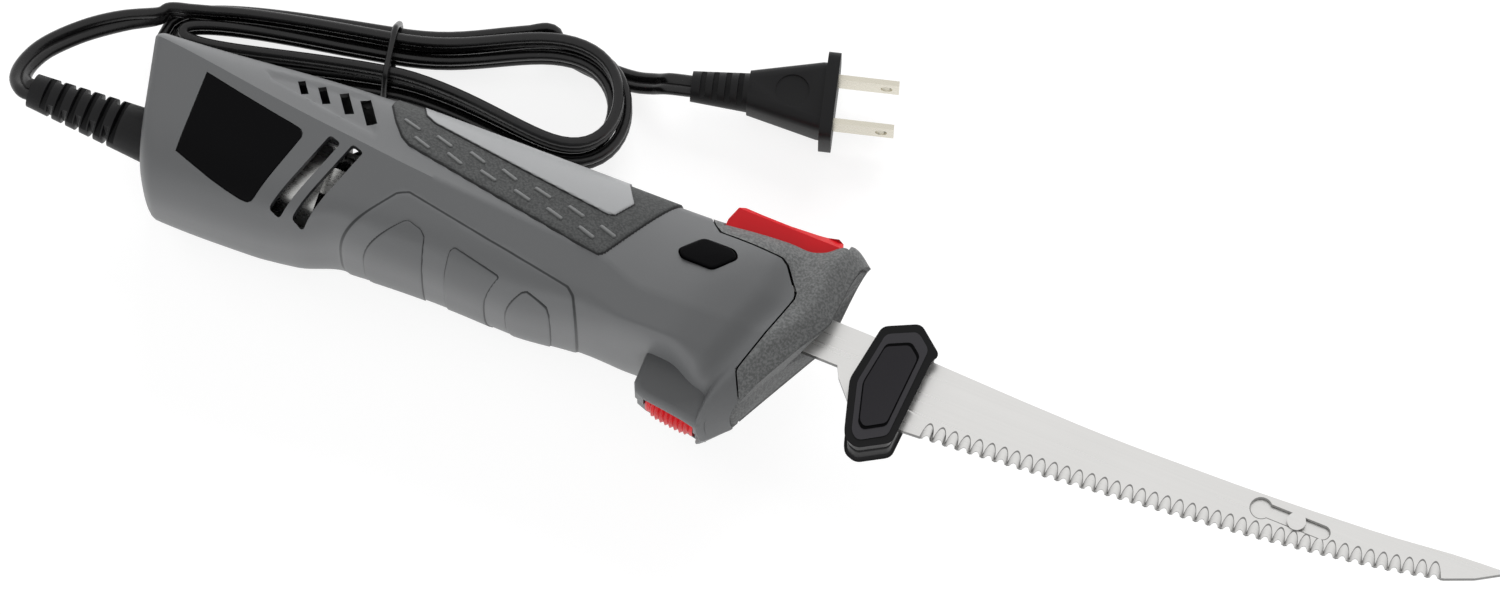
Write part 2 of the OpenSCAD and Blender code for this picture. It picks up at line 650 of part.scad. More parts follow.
// Lock button in the left shell, over a short spring
lock_floor = ear_out + lock_travel + 0.2;
lock_seat = 4.5;
lock_face = 16;
lock_slope = 23;
module lock_button() color(black)
    intersection() {
        translate([lock_x, lock_y, lock_floor]) linear_extrude(20) lock_outline(0);
        translate([lock_x, lock_y, lock_face]) rotate([-lock_slope, 0, 0])
            translate([-12, -12, -20]) cube([24, 24, 20]);
    }
module lock_spring() color(steel)
    translate([lock_x, lock_y, lock_seat + seat_gap])
        spring(2, 0.5, lock_floor - lock_seat - 2 * seat_gap, 3);

// Blade release under the hood, with finger serrations
serrations = 11;
serration_pitch = 1.2;
serration_r = 0.42;
release_low = -26.2;
release_seat = -4;
module blade_release() color(red)
    translate([release_x, 0, -release_w / 2]) linear_extrude(release_w)
        difference() {
            polygon([[-release_len / 2, release_top], [release_len / 2, release_top],
                [release_len / 2, release_low + 1.2], [release_len / 2 - 3, release_low - 0.4],
                [0, release_low + 0.6], [-release_len / 2 + 2.5, release_low + 2.2],
                [-release_len / 2, release_low + 3.6]]);
            for (k = [0:serrations - 1])
                translate([-release_len / 2 + 1.6 + k * serration_pitch, release_low + 2.05 - k * 0.24])
                    circle(r = serration_r, $fn = 16);
        }
module release_spring() color(steel)
    translate([release_x, release_top + seat_gap, 0]) rotate([-90, 0, 0])
        spring(2.6, spring_wire, release_seat - release_top - 2 * seat_gap, 5);

// Motor, along X at its own height
module along_x(x) translate([x, motor_y, 0]) rotate([0, 90, 0]) children();
can_wall = 1.2;
magnet_t = 2.2;
bush_r = 3.6;
front_plate = 1.6;
fan_x = can_end + 2;
fan_l = 5;
shaft_end = worm_x + 11;
module motor_can() color(steel)
    difference() {
        along_x(can_x) cylinder(h = can_l, r = can_r, $fn = 64);
        along_x(can_x - 1) cylinder(h = can_l + 1 - front_plate, r = can_r - can_wall, $fn = 64);
        along_x(can_x) cylinder(h = can_l + 1, r = bush_r, $fn = 48);
        for (a = [45:90:315]) translate([can_end - 1, motor_y, 0]) rotate([a, 0, 0])
            translate([0, 9, 0]) rotate([0, 90, 0]) cylinder(h = 6, r = 2, center = true, $fn = 24);
    }
module motor_endcap() color(black)
    difference() {
        union() {
            along_x(can_x - 3) cylinder(h = 3, r = can_r, $fn = 64);
            along_x(can_x) cylinder(h = 3, r = can_r - can_wall - 0.05, $fn = 64);
        }
        along_x(can_x - 5) cylinder(h = 10, r = bush_r, $fn = 48);
        along_x(can_x) cylinder(h = 4, r = can_r - 4, $fn = 64);
    }
module motor_magnets() color(hub_grey)
    for (s = [-1, 1])
        intersection() {
            difference() {
                along_x(can_x + 8) cylinder(h = 22, r = can_r - can_wall - 0.05, $fn = 64);
                along_x(can_x + 7) cylinder(h = 24, r = can_r - can_wall - magnet_t, $fn = 64);
            }
            translate([can_x, motor_y + (s > 0 ? 4 : -34), -30]) cube([40, 30, 60]);
        }
armature_r = can_r - can_wall - magnet_t - 0.6;
module armature() color(copper)
    difference() {
        union() {
            for (k = [0:4]) rotate_slot(k);
            along_x(can_x + 10) cylinder(h = 18, r = armature_r * 0.62, $fn = 48);
        }
        along_x(can_x) cylinder(h = 40, r = shaft_r, $fn = 32);
    }
module rotate_slot(k)
    intersection() {
        along_x(can_x + 11) cylinder(h = 16, r = armature_r, $fn = 64);
        translate([can_x, motor_y, 0]) rotate([72 * k, 0, 0])
            translate([0, 0, -3.4]) cube([40, 20, 6.8]);
    }
module commutator() color(brass)
    difference() {
        along_x(can_x + 4) cylinder(h = 5, r = 4, $fn = 48);
        along_x(can_x) cylinder(h = 12, r = shaft_r, $fn = 32);
    }
module brushes() color(hub_grey)
    for (s = [-1, 1])
        translate([can_x + 5, motor_y - 1.5 + s * 5.8, -1.5]) cube([3, 3, 3]);
module motor_shaft() color(steel)
    along_x(can_x - 3) cylinder(h = shaft_end - can_x + 3, r = shaft_r, $fn = 32);
module bush(x, h)
    difference() {
        along_x(x) cylinder(h = h, r = bush_r, $fn = 48);
        along_x(x - 1) cylinder(h = h + 2, r = shaft_r + run_gap, $fn = 32);
    }
module rear_bearing() color(brass) bush(can_x - 3, 3);
module front_bearing() color(brass) {
    bush(can_end - front_plate, front_plate);
    bush(frame_x, frame_t);
}
fan_r = 10.5;
blades_on_fan = 8;
module cooling_fan() color(black)
    difference() {
        union() {
            along_x(fan_x) cylinder(h = 1.2, r = fan_r, $fn = 64);
            along_x(fan_x) cylinder(h = fan_l, r = 4, $fn = 48);
            for (k = [0:blades_on_fan - 1])
                translate([fan_x, motor_y, 0]) rotate([360 / blades_on_fan * k, 0, 0])
                    translate([0, 3.6, -0.5]) cube([fan_l, fan_r - 3.8, 1]);
        }
        along_x(fan_x - 1) cylinder(h = 10, r = shaft_r, $fn = 32);
    }

// Worm on the shaft and the worm wheel over it, with a crank disc on each face
worm_r = 4.3;
worm_l = 17;
module worm() color(steel)
    difference() {
        along_x(worm_x - worm_l / 2) linear_extrude(height = worm_l, twist = -360 * 4, slices = 32)
            translate([0.55, 0]) circle(r = worm_r - 0.55, $fn = 10);
        along_x(worm_x - worm_l) cylinder(h = 2 * worm_l, r = shaft_r, $fn = 32);
    }
tooth_h = 1.3;
crank_r = 6;
// Corners of a tooth: place in teeth from its middle, and root or crown
tooth_line = [[-0.36, 0], [-0.2, 1], [0.2, 1], [0.36, 0]];
module wheel_profile()
    polygon([for (k = [0:wheel_teeth - 1]) for (p = tooth_line)
        let (a = (k + p[0]) * 360 / wheel_teeth, r = wheel_r - tooth_h * (1 - p[1]))
        [r * cos(a), r * sin(a)]]);
module worm_wheel() color(white)
    translate([worm_x, blade_y, 0])
        difference() {
            union() {
                translate([0, 0, -wheel_t / 2]) linear_extrude(wheel_t) wheel_profile();
                for (s = [-1, 1])
                    translate([0, s * stroke, s > 0 ? wheel_t / 2 : -wheel_t / 2 - crank_t])
                        cylinder(h = crank_t, r = crank_r, $fn = 48);
            }
            translate([0, 0, -20]) cylinder(h = 40, r = axle_r + run_gap, $fn = 32);
        }
frame_half = 10.6;
frame_t = 1.6;
frame_x = fan_x + fan_l + 2;
frame_end = hood_u - 5;
module wheel_axle() color(steel)
    translate([worm_x, blade_y, -frame_half]) cylinder(h = 2 * frame_half, r = axle_r, $fn = 32);

// Gear frame: two side plates, a bearing wall, a guide block and the switch bracket
guide_l = 6;
guide_x = frame_end - guide_l;
arm_h = 14;
arm_gap = 0.15;
yoke_low = wheel_t / 2 + crank_t + 0.3;
yoke_t = 2.4;
yoke_high = yoke_low + yoke_t;
frame_low = -7.3;
frame_top = 17;
plate_t = 1.4;
guide_half = 9;
bar_in = 10.9;
bar_out = 12.4;
module gear_frame() color(steel)
    difference() {
        union() {
            mirror_z() translate([frame_x, frame_low, frame_half - frame_t])
                cube([frame_end - frame_x, frame_top - frame_low, frame_t]);
            translate([frame_x, frame_low, -bar_out])
                cube([frame_t, frame_top - frame_low, 2 * bar_out]);
            along_x(can_end) cylinder(h = plate_t, r = can_r, $fn = 64);
            translate([can_end, motor_y + bar_in, -4])
                cube([frame_x - can_end + 1, bar_out - bar_in, 8]);
            mirror_z() translate([can_end, motor_y - 4, bar_in])
                cube([frame_x - can_end + 1, 8, bar_out - bar_in]);
            translate([guide_x, frame_low, -frame_half])
                cube([guide_l, frame_top - frame_low, 2 * frame_half]);
            translate([guide_x, frame_low, -guide_half])
                cube([guide_l, bracket_y + bracket_t - frame_low, 2 * guide_half]);
            translate([guide_x, bracket_y, -5.5]) cube([spring_x + 4 - guide_x, bracket_t, 11]);
            translate([guide_x, release_seat, -4]) cube([release_x + 5 - guide_x, 1.5, 8]);
            translate([lock_x - 4, lock_y - 4, lock_seat - 1.5])
                cube([8, bracket_y + 1 - lock_y + 4, 1.5]);
            mirror_z() translate([hinge_x - ear_r, bracket_y, ear_in])
                cube([2 * ear_r, hinge_y - bracket_y + ear_r, ear_out - ear_in]);
            translate([hinge_x - ear_r, bracket_y, -ear_out]) cube([2 * ear_r, bracket_t, 2 * ear_out]);
        }
        translate([worm_x, blade_y, -20]) cylinder(h = 40, r = axle_r, $fn = 32);
        along_x(frame_x - 1) cylinder(h = frame_t + 2, r = bush_r, $fn = 48);
        along_x(can_end - 1) cylinder(h = plate_t + 2, r = bar_in - 2, $fn = 64);
        translate([guide_x - 1, blade_y - arm_h / 2 - arm_gap, -yoke_high - arm_gap])
            cube([guide_l + 2, arm_h + 2 * arm_gap, 2 * (yoke_high + arm_gap)]);
        translate([hinge_x, hinge_y, -20]) cylinder(h = 40, r = pin_r, $fn = 32);
    }

// Yoke with its window round the crank disc, and the arm that carries the tang
yoke_half = crank_r + stroke + 2.2;
stud_x = frame_end - 16;
stud_r = 2;
arm_end = frame_end + 1;
blade_face = blade_gap / 2 + blade_t;
module yoke() color(white)
    difference() {
        union() {
            translate([worm_x - 9, blade_y - yoke_half, yoke_low])
                cube([18, 2 * yoke_half - 1.1, yoke_t]);
            translate([worm_x + 8, blade_y - arm_h / 2, yoke_low])
                cube([arm_end - worm_x - 8, arm_h, yoke_t]);
            translate([worm_x + wheel_r + stroke + 4, blade_y - arm_h / 2, blade_face])
                cube([arm_end - worm_x - wheel_r - stroke - 4, arm_h, yoke_high - blade_face]);
            translate([stud_x, blade_y, blade_gap / 2 + 0.2]) cylinder(h = 2, r = stud_r, $fn = 32);
        }
        translate([worm_x - crank_r - 0.1, blade_y - crank_r - stroke - 0.3, yoke_low - 1])
            cube([2 * crank_r + 0.2, 2 * (crank_r + stroke + 0.3), yoke_t + 2]);
    }
module left_yoke() yoke();
module right_yoke() mirror([0, 0, 1]) yoke();

// Blade in side view: tang, heel, curved spine and edge up to the tip
tip_x = mouth_u + blade_l;
tang_x = stud_x - 8;
heel_x = mouth_u + 2.4;
hub_x = mouth_u + 17;
tip_y = 21.7;
blade_spine = [[hub_x - 10, 17.3], [hub_x + 8, 16.7], [hub_x + 57, 15.6], [hub_x + 90, 16.3],
    [hub_x + 135, 18.7], [hub_x + 158, 21], [tip_x, tip_y]];
edge_steps = 24;
blade_edge = [[hub_x - 8, -2.4], [hub_x + 6, -4.3], [hub_x + 16, -3.7], [hub_x + 78, 1.9],
    [hub_x + 109, 5.4], [hub_x + 157, 14], [tip_x, tip_y - 0.2]];
function blade_line(t, steps) = [for (i = [0:steps])
    let (x = t[0][0] + (t[len(t) - 1][0] - t[0][0]) * i / steps) [x, along(t, x)]];
module blade_outline()
    polygon(concat(
        [[tang_x, blade_y + tang_w / 2]],
        blade_line(blade_spine, edge_steps),
        [for (p = [edge_steps:-1:0]) blade_line(blade_edge, edge_steps)[p]],
        [[heel_x + 1.6, blade_y - tang_w / 2 - 3], [heel_x, blade_y - tang_w / 2],
            [tang_x, blade_y - tang_w / 2]]));

// Ground flutes along the edge, and the keyhole slot for the rivet of the other blade
grind = 15;
flute_x = hub_x + 15;
rivet_x = mouth_u + 131;
rivet_y = 12.9;
slot_back = 8.5;
slot_front = 7.5;
slot_r = rivet_r + 0.35;
module flute_cuts()
    for (k = [0:flutes - 1])
        let (x = flute_x + k * flute_pitch)
        let (turn = atan2(along(blade_edge, x + 1) - along(blade_edge, x - 1), 2))
        translate([x, along(blade_edge, x), blade_gap / 2 - 0.3]) rotate([0, 0, turn])
            rotate([-(90 - grind), 0, 0]) translate([0, -flute_r, -4])
                cylinder(h = 16, r = flute_r, $fn = 32);
module blade(slotted) color(steel)
    difference() {
        translate([0, 0, blade_gap / 2]) linear_extrude(blade_t) blade_outline();
        flute_cuts();
        translate([stud_x, blade_y, -1]) cylinder(h = 5, r = stud_r, $fn = 32);
        if (slotted) {
            for (x = [rivet_x - slot_back, rivet_x + slot_front])
                translate([x, rivet_y, -1]) cylinder(h = 5, r = slot_r, $fn = 32);
            translate([rivet_x - slot_back, rivet_y - slot_r, -1])
                cube([slot_back + slot_front, 2 * slot_r, 5]);
            translate([rivet_x - slot_back - 1.5, rivet_y, -1])
                cylinder(h = 5, r = slot_r + 1, $fn = 32);
        } else
            translate([rivet_x, rivet_y, -1]) cylinder(h = 5, r = rivet_r, $fn = 32);
    }
module left_blade() blade(true);
module right_blade() mirror([0, 0, 1]) blade(false);
rivet_head = 0.7;
module blade_rivet() color(steel) translate([rivet_x, rivet_y, 0]) {
    translate([0, 0, -blade_face]) cylinder(h = 2 * blade_face + 0.3, r = rivet_r, $fn = 32);
    translate([0, 0, blade_face + 0.3]) cylinder(h = rivet_head, r = rivet_r + 1, $fn = 32);
    translate([0, 0, -blade_face - rivet_head]) cylinder(h = rivet_head, r = rivet_r + 0.8, $fn = 32);
}

// Moulded hub on the heel of each blade, bevelled, with a raised panel
hub_line = [[-8.6, 2.2], [-6.4, 18.6], [2, 22.8], [9, 17.2], [7.8, 15.4], [6.9, -9.6], [-0.6, -14.2],
    [-3.4, -13.2], [-4.4, -11.4]];
panel_line = [[-6.3, 2.6], [-4.6, 16.6], [1.8, 19.8], [4.6, 17.4], [4.2, -6], [-1.4, -10.4],
    [-2.6, -9.6]];
hub_bevel = 1.8;
hub_top = 0.86;
module hub() color(hub_grey)
    translate([hub_x, 0, 0])
        difference() {
            union() {
                translate([0, 0, blade_gap / 2]) linear_extrude(hub_t - hub_bevel - blade_gap / 2)
                    polygon(hub_line);
                translate([-0.5, 3.8, hub_t - hub_bevel])
                    linear_extrude(height = hub_bevel, scale = hub_top)
                        translate([0.5, -3.8]) polygon(hub_line);
                translate([0, 0, hub_t - 1]) linear_extrude(1.5)
                    polygon([for (p = panel_line) hub_top * p]);
            }
            translate([-hub_x, 0, -1]) linear_extrude(blade_face + 1) blade_outline();
            translate([-20, -20, blade_gap / 2 + 1.5]) cube([24.5, 8.6, 0.8]);
        }
module left_hub() hub();
module right_hub() mirror([0, 0, 1]) hub();

// Board under the gear frame, and what it carries
board_x = step_u + 52;
board_l = 20;
board_t = 1.4;
module control_board() color(board_green)
    translate([board_x, frame_low - board_t, -frame_half]) cube([board_l, board_t, 2 * frame_half]);
module board_parts() color(copper) {
    translate([board_x + 2, frame_low, -6]) cube([7, 4, 5]);
    translate([board_x + 5, frame_low, 4]) rotate([-90, 0, 0]) cylinder(h = 6, r = 3, $fn = 32);
    translate([board_x + 13, frame_low, -3]) cube([5, 3, 6]);
}

// Clamp that holds the cord inside the back wall
module cord_clamp() color(black)
    translate([back_x + wall + 4.2, relief_y - 6, -2]) cube([2.3, 12, 4]);
module case_screws() color(steel)
    for (p = screw_places) translate([p[0], p[1], -p[2]]) {
        cylinder(h = p[2] + p[3], r = screw_r, $fn = 32);
        translate([0, 0, -head_h]) cylinder(h = head_h, r = head_r, $fn = 32);
    }

// Strain relief: slotted taper outside the slanted back wall, flange inside
relief_slots = 6;
slot_w = 1.7;
slot_pitch = 4.2;
module strain_relief() color(black) {
    difference() {
        translate([back_x - relief_l, relief_y, 0]) rotate([0, 90, 0])
            cylinder(h = relief_l + 4, r1 = cord_w / 2 + 1.6, r2 = relief_r + 0.9, $fn = 48);
        translate([back_x - 0.1, relief_y, 0]) rotate([0, 0, atan(rear_lean[0][1])])
            translate([0, -40, -40]) cube(80);
        for (k = [0:relief_slots - 1]) for (s = [-1, 1])
            translate([back_x - relief_l + 4 + k * slot_pitch, relief_y - 20, s > 0 ? 2 : -22])
                cube([slot_w, 40, 20]);
        for (k = [0:relief_slots - 2]) for (s = [-1, 1])
            translate([back_x - relief_l + 6.1 + k * slot_pitch,
                    relief_y + (s > 0 ? 3.4 : -23.4), -20])
                cube([slot_w, 20, 40]);
    }
    translate([back_x - 3, relief_y, 0]) rotate([0, 90, 0])
        cylinder(h = wall + 6, r = neck_r, $fn = 48);
    translate([back_x + wall + 2.4, relief_y, 0]) rotate([0, 90, 0])
        cylinder(h = 1.8, r = neck_r + 1.6, $fn = 48);
}

// Route of the cord. The handle's underside is the table, half a width below the blades
table = -half_w;
function unit(v) = v / norm(v);
function tangent(p, i) = unit(p[min(i + 1, len(p) - 1)] - p[max(i - 1, 0)]);
// Ring of a flat cord: n points, its wide way turned up by an angle from level
function cord_ring(p, t, up, n) =
    let (side = unit(cross([0, 0, 1], t)))
    let (rise = cross(t, side))
    let (wide = cos(up) * side + sin(up) * rise)
    let (thin = cos(up) * rise - sin(up) * side)
    [for (j = [0:n - 1]) let (a = -360 * j / n)
        p + wide * cord_w / 2 * cos(a) + thin * cord_t / 2 * sin(a) / (n == 6 ? sin(60) : 1)];
function cord_rings(p, ups, n) = [for (i = [0:len(p) - 1]) cord_ring(p[i], tangent(p, i), ups[i], n)];

// Hank: two layers of turns round a waisted loop, drawn in by the tie
hank_x = 56;
hank_y = 44;
hank_turn = 12.5;
hank_left = 56;
hank_right = 61;
bulge_left = 3;
bulge_right = 27;
sag_left = 2.5;
sag_right = 4.5;
waist = 2.2;
layer_low = table + cord_w / 2 + 0.1;
layer_rise = cord_w + 0.5;
tail_lift = 4.2;
ring_steps = 24;
function ease(q) = let (c = max(0, min(1, q))) 3 * c ^ 2 - 2 * c ^ 3;
function loop_point(a) =
    let (right = cos(a) > 0)
    [(right ? hank_right : hank_left) * cos(a),
        sin(a) * (waist + (right ? bulge_right : bulge_left) * cos(a) ^ 2)
        - (right ? sag_right : sag_left) * cos(a) ^ 2];
function loop_normal(a) =
    let (d = loop_point(a + 0.5) - loop_point(a - 0.5))
    unit([d[1], -d[0]]);
// Turns are counted from the middle of the climb; the cord comes in on top and leaves below.
// The right loop lies over the end that leaves, so it is raised there
function hank_point(t) =
    let (a = hank_mid - 360 * t)
    let (p = loop_point(a) + loop_normal(a) * hank_pitch * abs(t))
    let (z = layer_low + layer_rise * ease(0.5 - 2 * t) + tail_lift * ease((p[0] - 10) / 36))
    [hank_x + p[0] * cos(hank_turn) - p[1] * sin(hank_turn),
        hank_y + p[0] * sin(hank_turn) + p[1] * cos(hank_turn), z];
hank_mid = 105;
hank_run = [for (i = [-top_turns * ring_steps:low_turns * ring_steps]) hank_point(i / ring_steps)];
hank_n = len(hank_run);
lead_meet = hank_run[0] - unit(hank_run[1] - hank_run[0]) * cord_w;
tail_meet = hank_run[hank_n - 1] + unit(hank_run[hank_n - 1] - hank_run[hank_n - 2]) * cord_w;
hank_path = concat([lead_meet], hank_run, [tail_meet]);
module cord_hank() color(black)
    loft(cord_rings(hank_path, [for (p = hank_path) 90], 6));

// Lead from the strain relief to the hank, tail from the hank to the plug
relief_end = [back_x - relief_l, relief_y, 0];
lead_line = concat([relief_end, relief_end - [2.4, 0, 0]],
    [[-31.8, -3, -3], [-32.6, 2, -6], [-31, 8.5, -8.5], [-27, 15, -10.5], [-21.5, 21, -11.5],
        [-14.5, 26.5, -12], [-7, 31, layer_low + layer_rise]],
    [lead_meet - unit(hank_run[1] - hank_run[0]) * cord_w, lead_meet]);
module cord_lead() color(black)
    loft(cord_rings(lead_line, [0, 0, 0, 0, 5, 15, 30, 50, 75, 90, 90], 8));
plug_at = [134, 69.5, table + 8];
plug_turn = 16;
plug_way = [cos(plug_turn), sin(plug_turn), 0];
tail_way = unit(hank_run[hank_n - 1] - hank_run[hank_n - 2]);
tail_line = [tail_meet, tail_meet + tail_way * cord_w, [95, 68.4, -19.6], [102, 67, -20.3],
    [110, 66.4, -20.35], [118, 66.6, -19.6], [124, 67.3, -17], plug_at - plug_way * cord_w, plug_at];
module cord_tail() color(black)
    loft(cord_rings(tail_line, [90, 85, 40, 5, 0, 0, 0, 0, 0], 8));
function path_sum(p, i) = i >= len(p) ? 0 : norm(p[i] - p[i - 1]) + path_sum(p, i + 1);
cord_lengths = [for (line = [lead_line, hank_path, tail_line]) path_sum(line, 1)];
echo(cord_lengths = cord_lengths);

// Wire tie round the hank's waist
tie_wire = 1.5;
tie_gap = 0.4;
tie_half = waist + hank_pitch * (low_turns + 0.15) + cord_t / 2 + tie_gap;
module cord_tie() color(black)
    translate([hank_x, hank_y, layer_low - cord_w / 2 - 0.1]) rotate([90, 0, hank_turn + 90])
        translate([0, 0, -tie_wire / 2]) linear_extrude(tie_wire)
            difference() {
                translate([-tie_half - tie_wire, 0])
                    square([2 * (tie_half + tie_wire), 2 * cord_w + 3.6]);
                translate([-tie_half, 0.001]) square([2 * tie_half, 2 * cord_w + 1.2]);
            }

// Two-pin plug at the far end
module plug_place() translate(plug_at) rotate([0, 0, plug_turn]) children();
neck_l = 16;
plug_l = 20;
flange_l = 3.4;
plug_w = 25.6;
plug_h = 15;
prong_gap = 12.7;
prong_l = 16.5;
module slab(x, l, w, h, r)
    translate([x, 0, 0]) rotate([0, 90, 0]) linear_extrude(l)
        hull() for (a = [-1, 1]) for (b = [-1, 1])
            translate([a * (h / 2 - r), b * (w / 2 - r)]) circle(r = r, $fn = 16);
module plug_body() color(black) plug_place() {
    difference() {
        union() {
            rotate([0, 90, 0]) cylinder(h = neck_l, r1 = 4.2, r2 = 5.4, $fn = 32);
            hull() {
                slab(neck_l - 0.5, 1, 11, 10.4, 3);
                slab(neck_l + plug_l - 1, 1, 20, 12, 3);
            }
        }
        for (k = [0:3]) for (s = [-1, 1])
            translate([2.4 + k * 3.4, -10, s > 0 ? 2.2 : -22.2]) cube([1.5, 20, 20]);
        translate([neck_l + 11.5, 0, 5.1]) cylinder(h = 5, r = 4.6, $fn = 32);
    }
    slab(neck_l + plug_l, flange_l, plug_w, plug_h, 3.5);
}
prong_t = 1.5;
prong_h = 6.4;
module plug_prongs() color(brass) plug_place()
    for (s = [-1, 1])
        difference() {
            translate([neck_l + plug_l + flange_l, s * prong_gap / 2 - prong_t / 2, -prong_h / 2])
                cube([prong_l, prong_t, prong_h]);
            translate([neck_l + plug_l + flange_l + prong_l - 3.4, 0, 0]) rotate([90, 0, 0])
                cylinder(h = 40, r = 1.6, center = true, $fn = 24);
        }

// The knife lies on its right side, centred under the middle of its box
low_x = relief_end[0];
module place()
    translate([-(low_x + tip_x) / 2, -(lip_top - lip_low) / 2, half_w]) children();

place() {
    left_shell();
    right_shell();
    front_collar();
    grip_pad();
    grip_insert();
    left_side_pads();
    right_side_pads();
    left_label_plate();
    right_label_plate();
    mouth_seal();
    power_paddle();
    paddle_pin();
    paddle_spring();
    power_switch();
    switch_plunger();
    lock_button();
    lock_spring();
    blade_release();
    release_spring();
    motor_can();
    motor_endcap();
    motor_magnets();
    armature();
    commutator();
    motor_shaft();
    brushes();
    cooling_fan();
    rear_bearing();
    front_bearing();
    worm();
    worm_wheel();
    wheel_axle();
    gear_frame();
    left_yoke();
    right_yoke();
    left_blade();
    right_blade();
    left_hub();
    right_hub();
    blade_rivet();
    control_board();
    board_parts();
    cord_clamp();
    case_screws();
    strain_relief();
    cord_lead();
    cord_hank();
    cord_tail();
    cord_tie();
    plug_body();
    plug_prongs();
}
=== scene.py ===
import json
import math

import bpy
import numpy as np
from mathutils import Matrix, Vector


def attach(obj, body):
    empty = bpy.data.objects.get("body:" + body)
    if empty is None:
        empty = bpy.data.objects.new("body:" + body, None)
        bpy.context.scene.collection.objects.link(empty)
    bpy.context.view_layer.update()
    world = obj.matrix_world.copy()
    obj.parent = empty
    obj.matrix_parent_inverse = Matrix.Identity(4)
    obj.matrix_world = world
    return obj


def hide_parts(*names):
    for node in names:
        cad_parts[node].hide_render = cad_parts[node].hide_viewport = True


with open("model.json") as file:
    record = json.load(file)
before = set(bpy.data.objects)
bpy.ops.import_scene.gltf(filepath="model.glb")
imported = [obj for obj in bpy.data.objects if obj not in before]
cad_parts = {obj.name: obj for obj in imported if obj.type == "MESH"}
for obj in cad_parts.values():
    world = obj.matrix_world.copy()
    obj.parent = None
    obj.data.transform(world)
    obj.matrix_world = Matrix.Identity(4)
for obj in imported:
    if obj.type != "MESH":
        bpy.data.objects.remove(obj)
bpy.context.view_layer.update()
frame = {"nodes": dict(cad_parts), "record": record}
nodes = frame["nodes"]

# The knife is drawn in millimetres along its own handle, then laid on the table
MM = 0.001
LAID = np.array([-181.02, -5.35, 22.0])
MIDDLE = LAID[2] * MM  # height of the plane between the two blades


def laid(points):
    """Points along the handle, in millimetres, as places in the scene, in metres."""
    return (np.asarray(points, float) + LAID) * MM


# ---------------------------------------------------------------- camera
CAMERA_AIM = Vector((-0.00552, 0.00695, 0.022))
CAMERA_SIDE = Vector((0.134, -0.315, 0.940))
CAMERA_DISTANCE = 2.222


def turn_to(way):
    """The turn of a camera or a lamp that looks along a way."""
    return way.to_track_quat("-Z", "Y").to_euler()


def add_camera():
    bpy.ops.object.camera_add()
    camera = bpy.context.object
    camera.name = "camera"
    camera.data.lens = 200
    camera.data.sensor_width = 36
    camera.data.clip_end = 20
    side = CAMERA_SIDE.normalized()
    camera.location = CAMERA_AIM + side * CAMERA_DISTANCE
    camera.rotation_euler = turn_to(-side)
    bpy.context.scene.camera = camera


# ---------------------------------------------------------------- numbers
def unit(vectors):
    return vectors / np.linalg.norm(vectors, axis=-1, keepdims=True)


def ease(q):
    """0 to 1 with a level start and end."""
    q = np.clip(q, 0, 1)
    return 3 * q ** 2 - 2 * q ** 3


def rise(distance, width):
    """0 outside, 1 inside, with a soft shoulder of a given width."""
    return ease(np.asarray(distance) / width + 0.5)


def stepped(*spans):
    """Places with a step of their own in each span: (from, to, step), ..."""
    parts = [np.arange(a, b - 1e-6, step) for a, b, step in spans]
    return np.concatenate(parts + [[spans[-1][1]]])


def corner_curve(first, here, last, shares):
    """Points on a curve from first to last that leans towards the corner between them."""
    return [(1 - t) ** 2 * first + 2 * t * (1 - t) * here + t * t * last for t in shares]


def rounded(corners, radius):
    """A closed outline with its corners turned round."""
    corners = np.asarray(corners, float)
    line = []
    for k, here in enumerate(corners):
        to_last, to_next = corners[k - 1] - here, corners[(k + 1) % len(corners)] - here
        cut = min(radius, 0.45 * np.linalg.norm(to_last), 0.45 * np.linalg.norm(to_next))
        line += corner_curve(here + unit(to_last) * cut, here, here + unit(to_next) * cut,
                             np.linspace(0, 1, 5))
    return np.array(line)


# ---------------------------------------------------------------- small helpers
def select_only(piece):
    bpy.ops.object.select_all(action="DESELECT")
    piece.select_set(True)
    bpy.context.view_layer.objects.active = piece


def in_edit(piece, *steps):
    """Runs steps on the whole mesh in edit mode."""
    select_only(piece)
    bpy.ops.object.mode_set(mode="EDIT")
    bpy.ops.mesh.select_all(action="SELECT")
    for step in steps:
        step()
    bpy.ops.object.mode_set(mode="OBJECT")


def merge():
    bpy.ops.mesh.remove_doubles(threshold=2e-6)


def outwards():
    bpy.ops.mesh.normals_make_consistent(inside=False)


def modify(piece, kind, **settings):
    select_only(piece)
    modifier = piece.modifiers.new(kind.lower(), kind)
    for key, value in settings.items():
        setattr(modifier, key, value)
    bpy.ops.object.modifier_apply(modifier=modifier.name)


def round_edges(piece, width, segments, angle=50):
    """Rounds edges that are sharper than an angle, by a width in millimetres."""
    modify(piece, "BEVEL", width=width * MM, segments=segments, limit_method="ANGLE",
           angle_limit=math.radians(angle))


def carve(piece, cutters, operation="DIFFERENCE"):
    for tool in cutters:
        modify(piece, "BOOLEAN", operation=operation, object=tool, solver="MANIFOLD")
        bpy.data.objects.remove(tool)


def smooth(piece, angle):
    select_only(piece)
    bpy.ops.object.shade_smooth_by_angle(angle=math.radians(angle))


def settle(piece, body, slot, finish, *replaced):
    """Gives a finished piece its material and its place in the frame."""
    select_only(piece)
    bpy.ops.object.transform_apply(location=True, rotation=True, scale=True)
    piece.data.materials.clear()
    piece.data.materials.append(finish)
    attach(piece, body)
    if replaced:
        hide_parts(*replaced)
    return piece


def added(name, primitive, **settings):
    """A new primitive, with nothing else selected."""
    bpy.ops.object.select_all(action="DESELECT")
    primitive(**settings)
    piece = bpy.context.object
    piece.name = name
    return piece


def vertex_places(piece):
    """A mesh's vertices, one row each, in metres."""
    flat = np.empty(len(piece.data.vertices) * 3)
    piece.data.vertices.foreach_get("co", flat)
    return flat.reshape(-1, 3)


def move_vertices(piece, places):
    piece.data.vertices.foreach_set("co", np.ravel(places))
    piece.data.update()


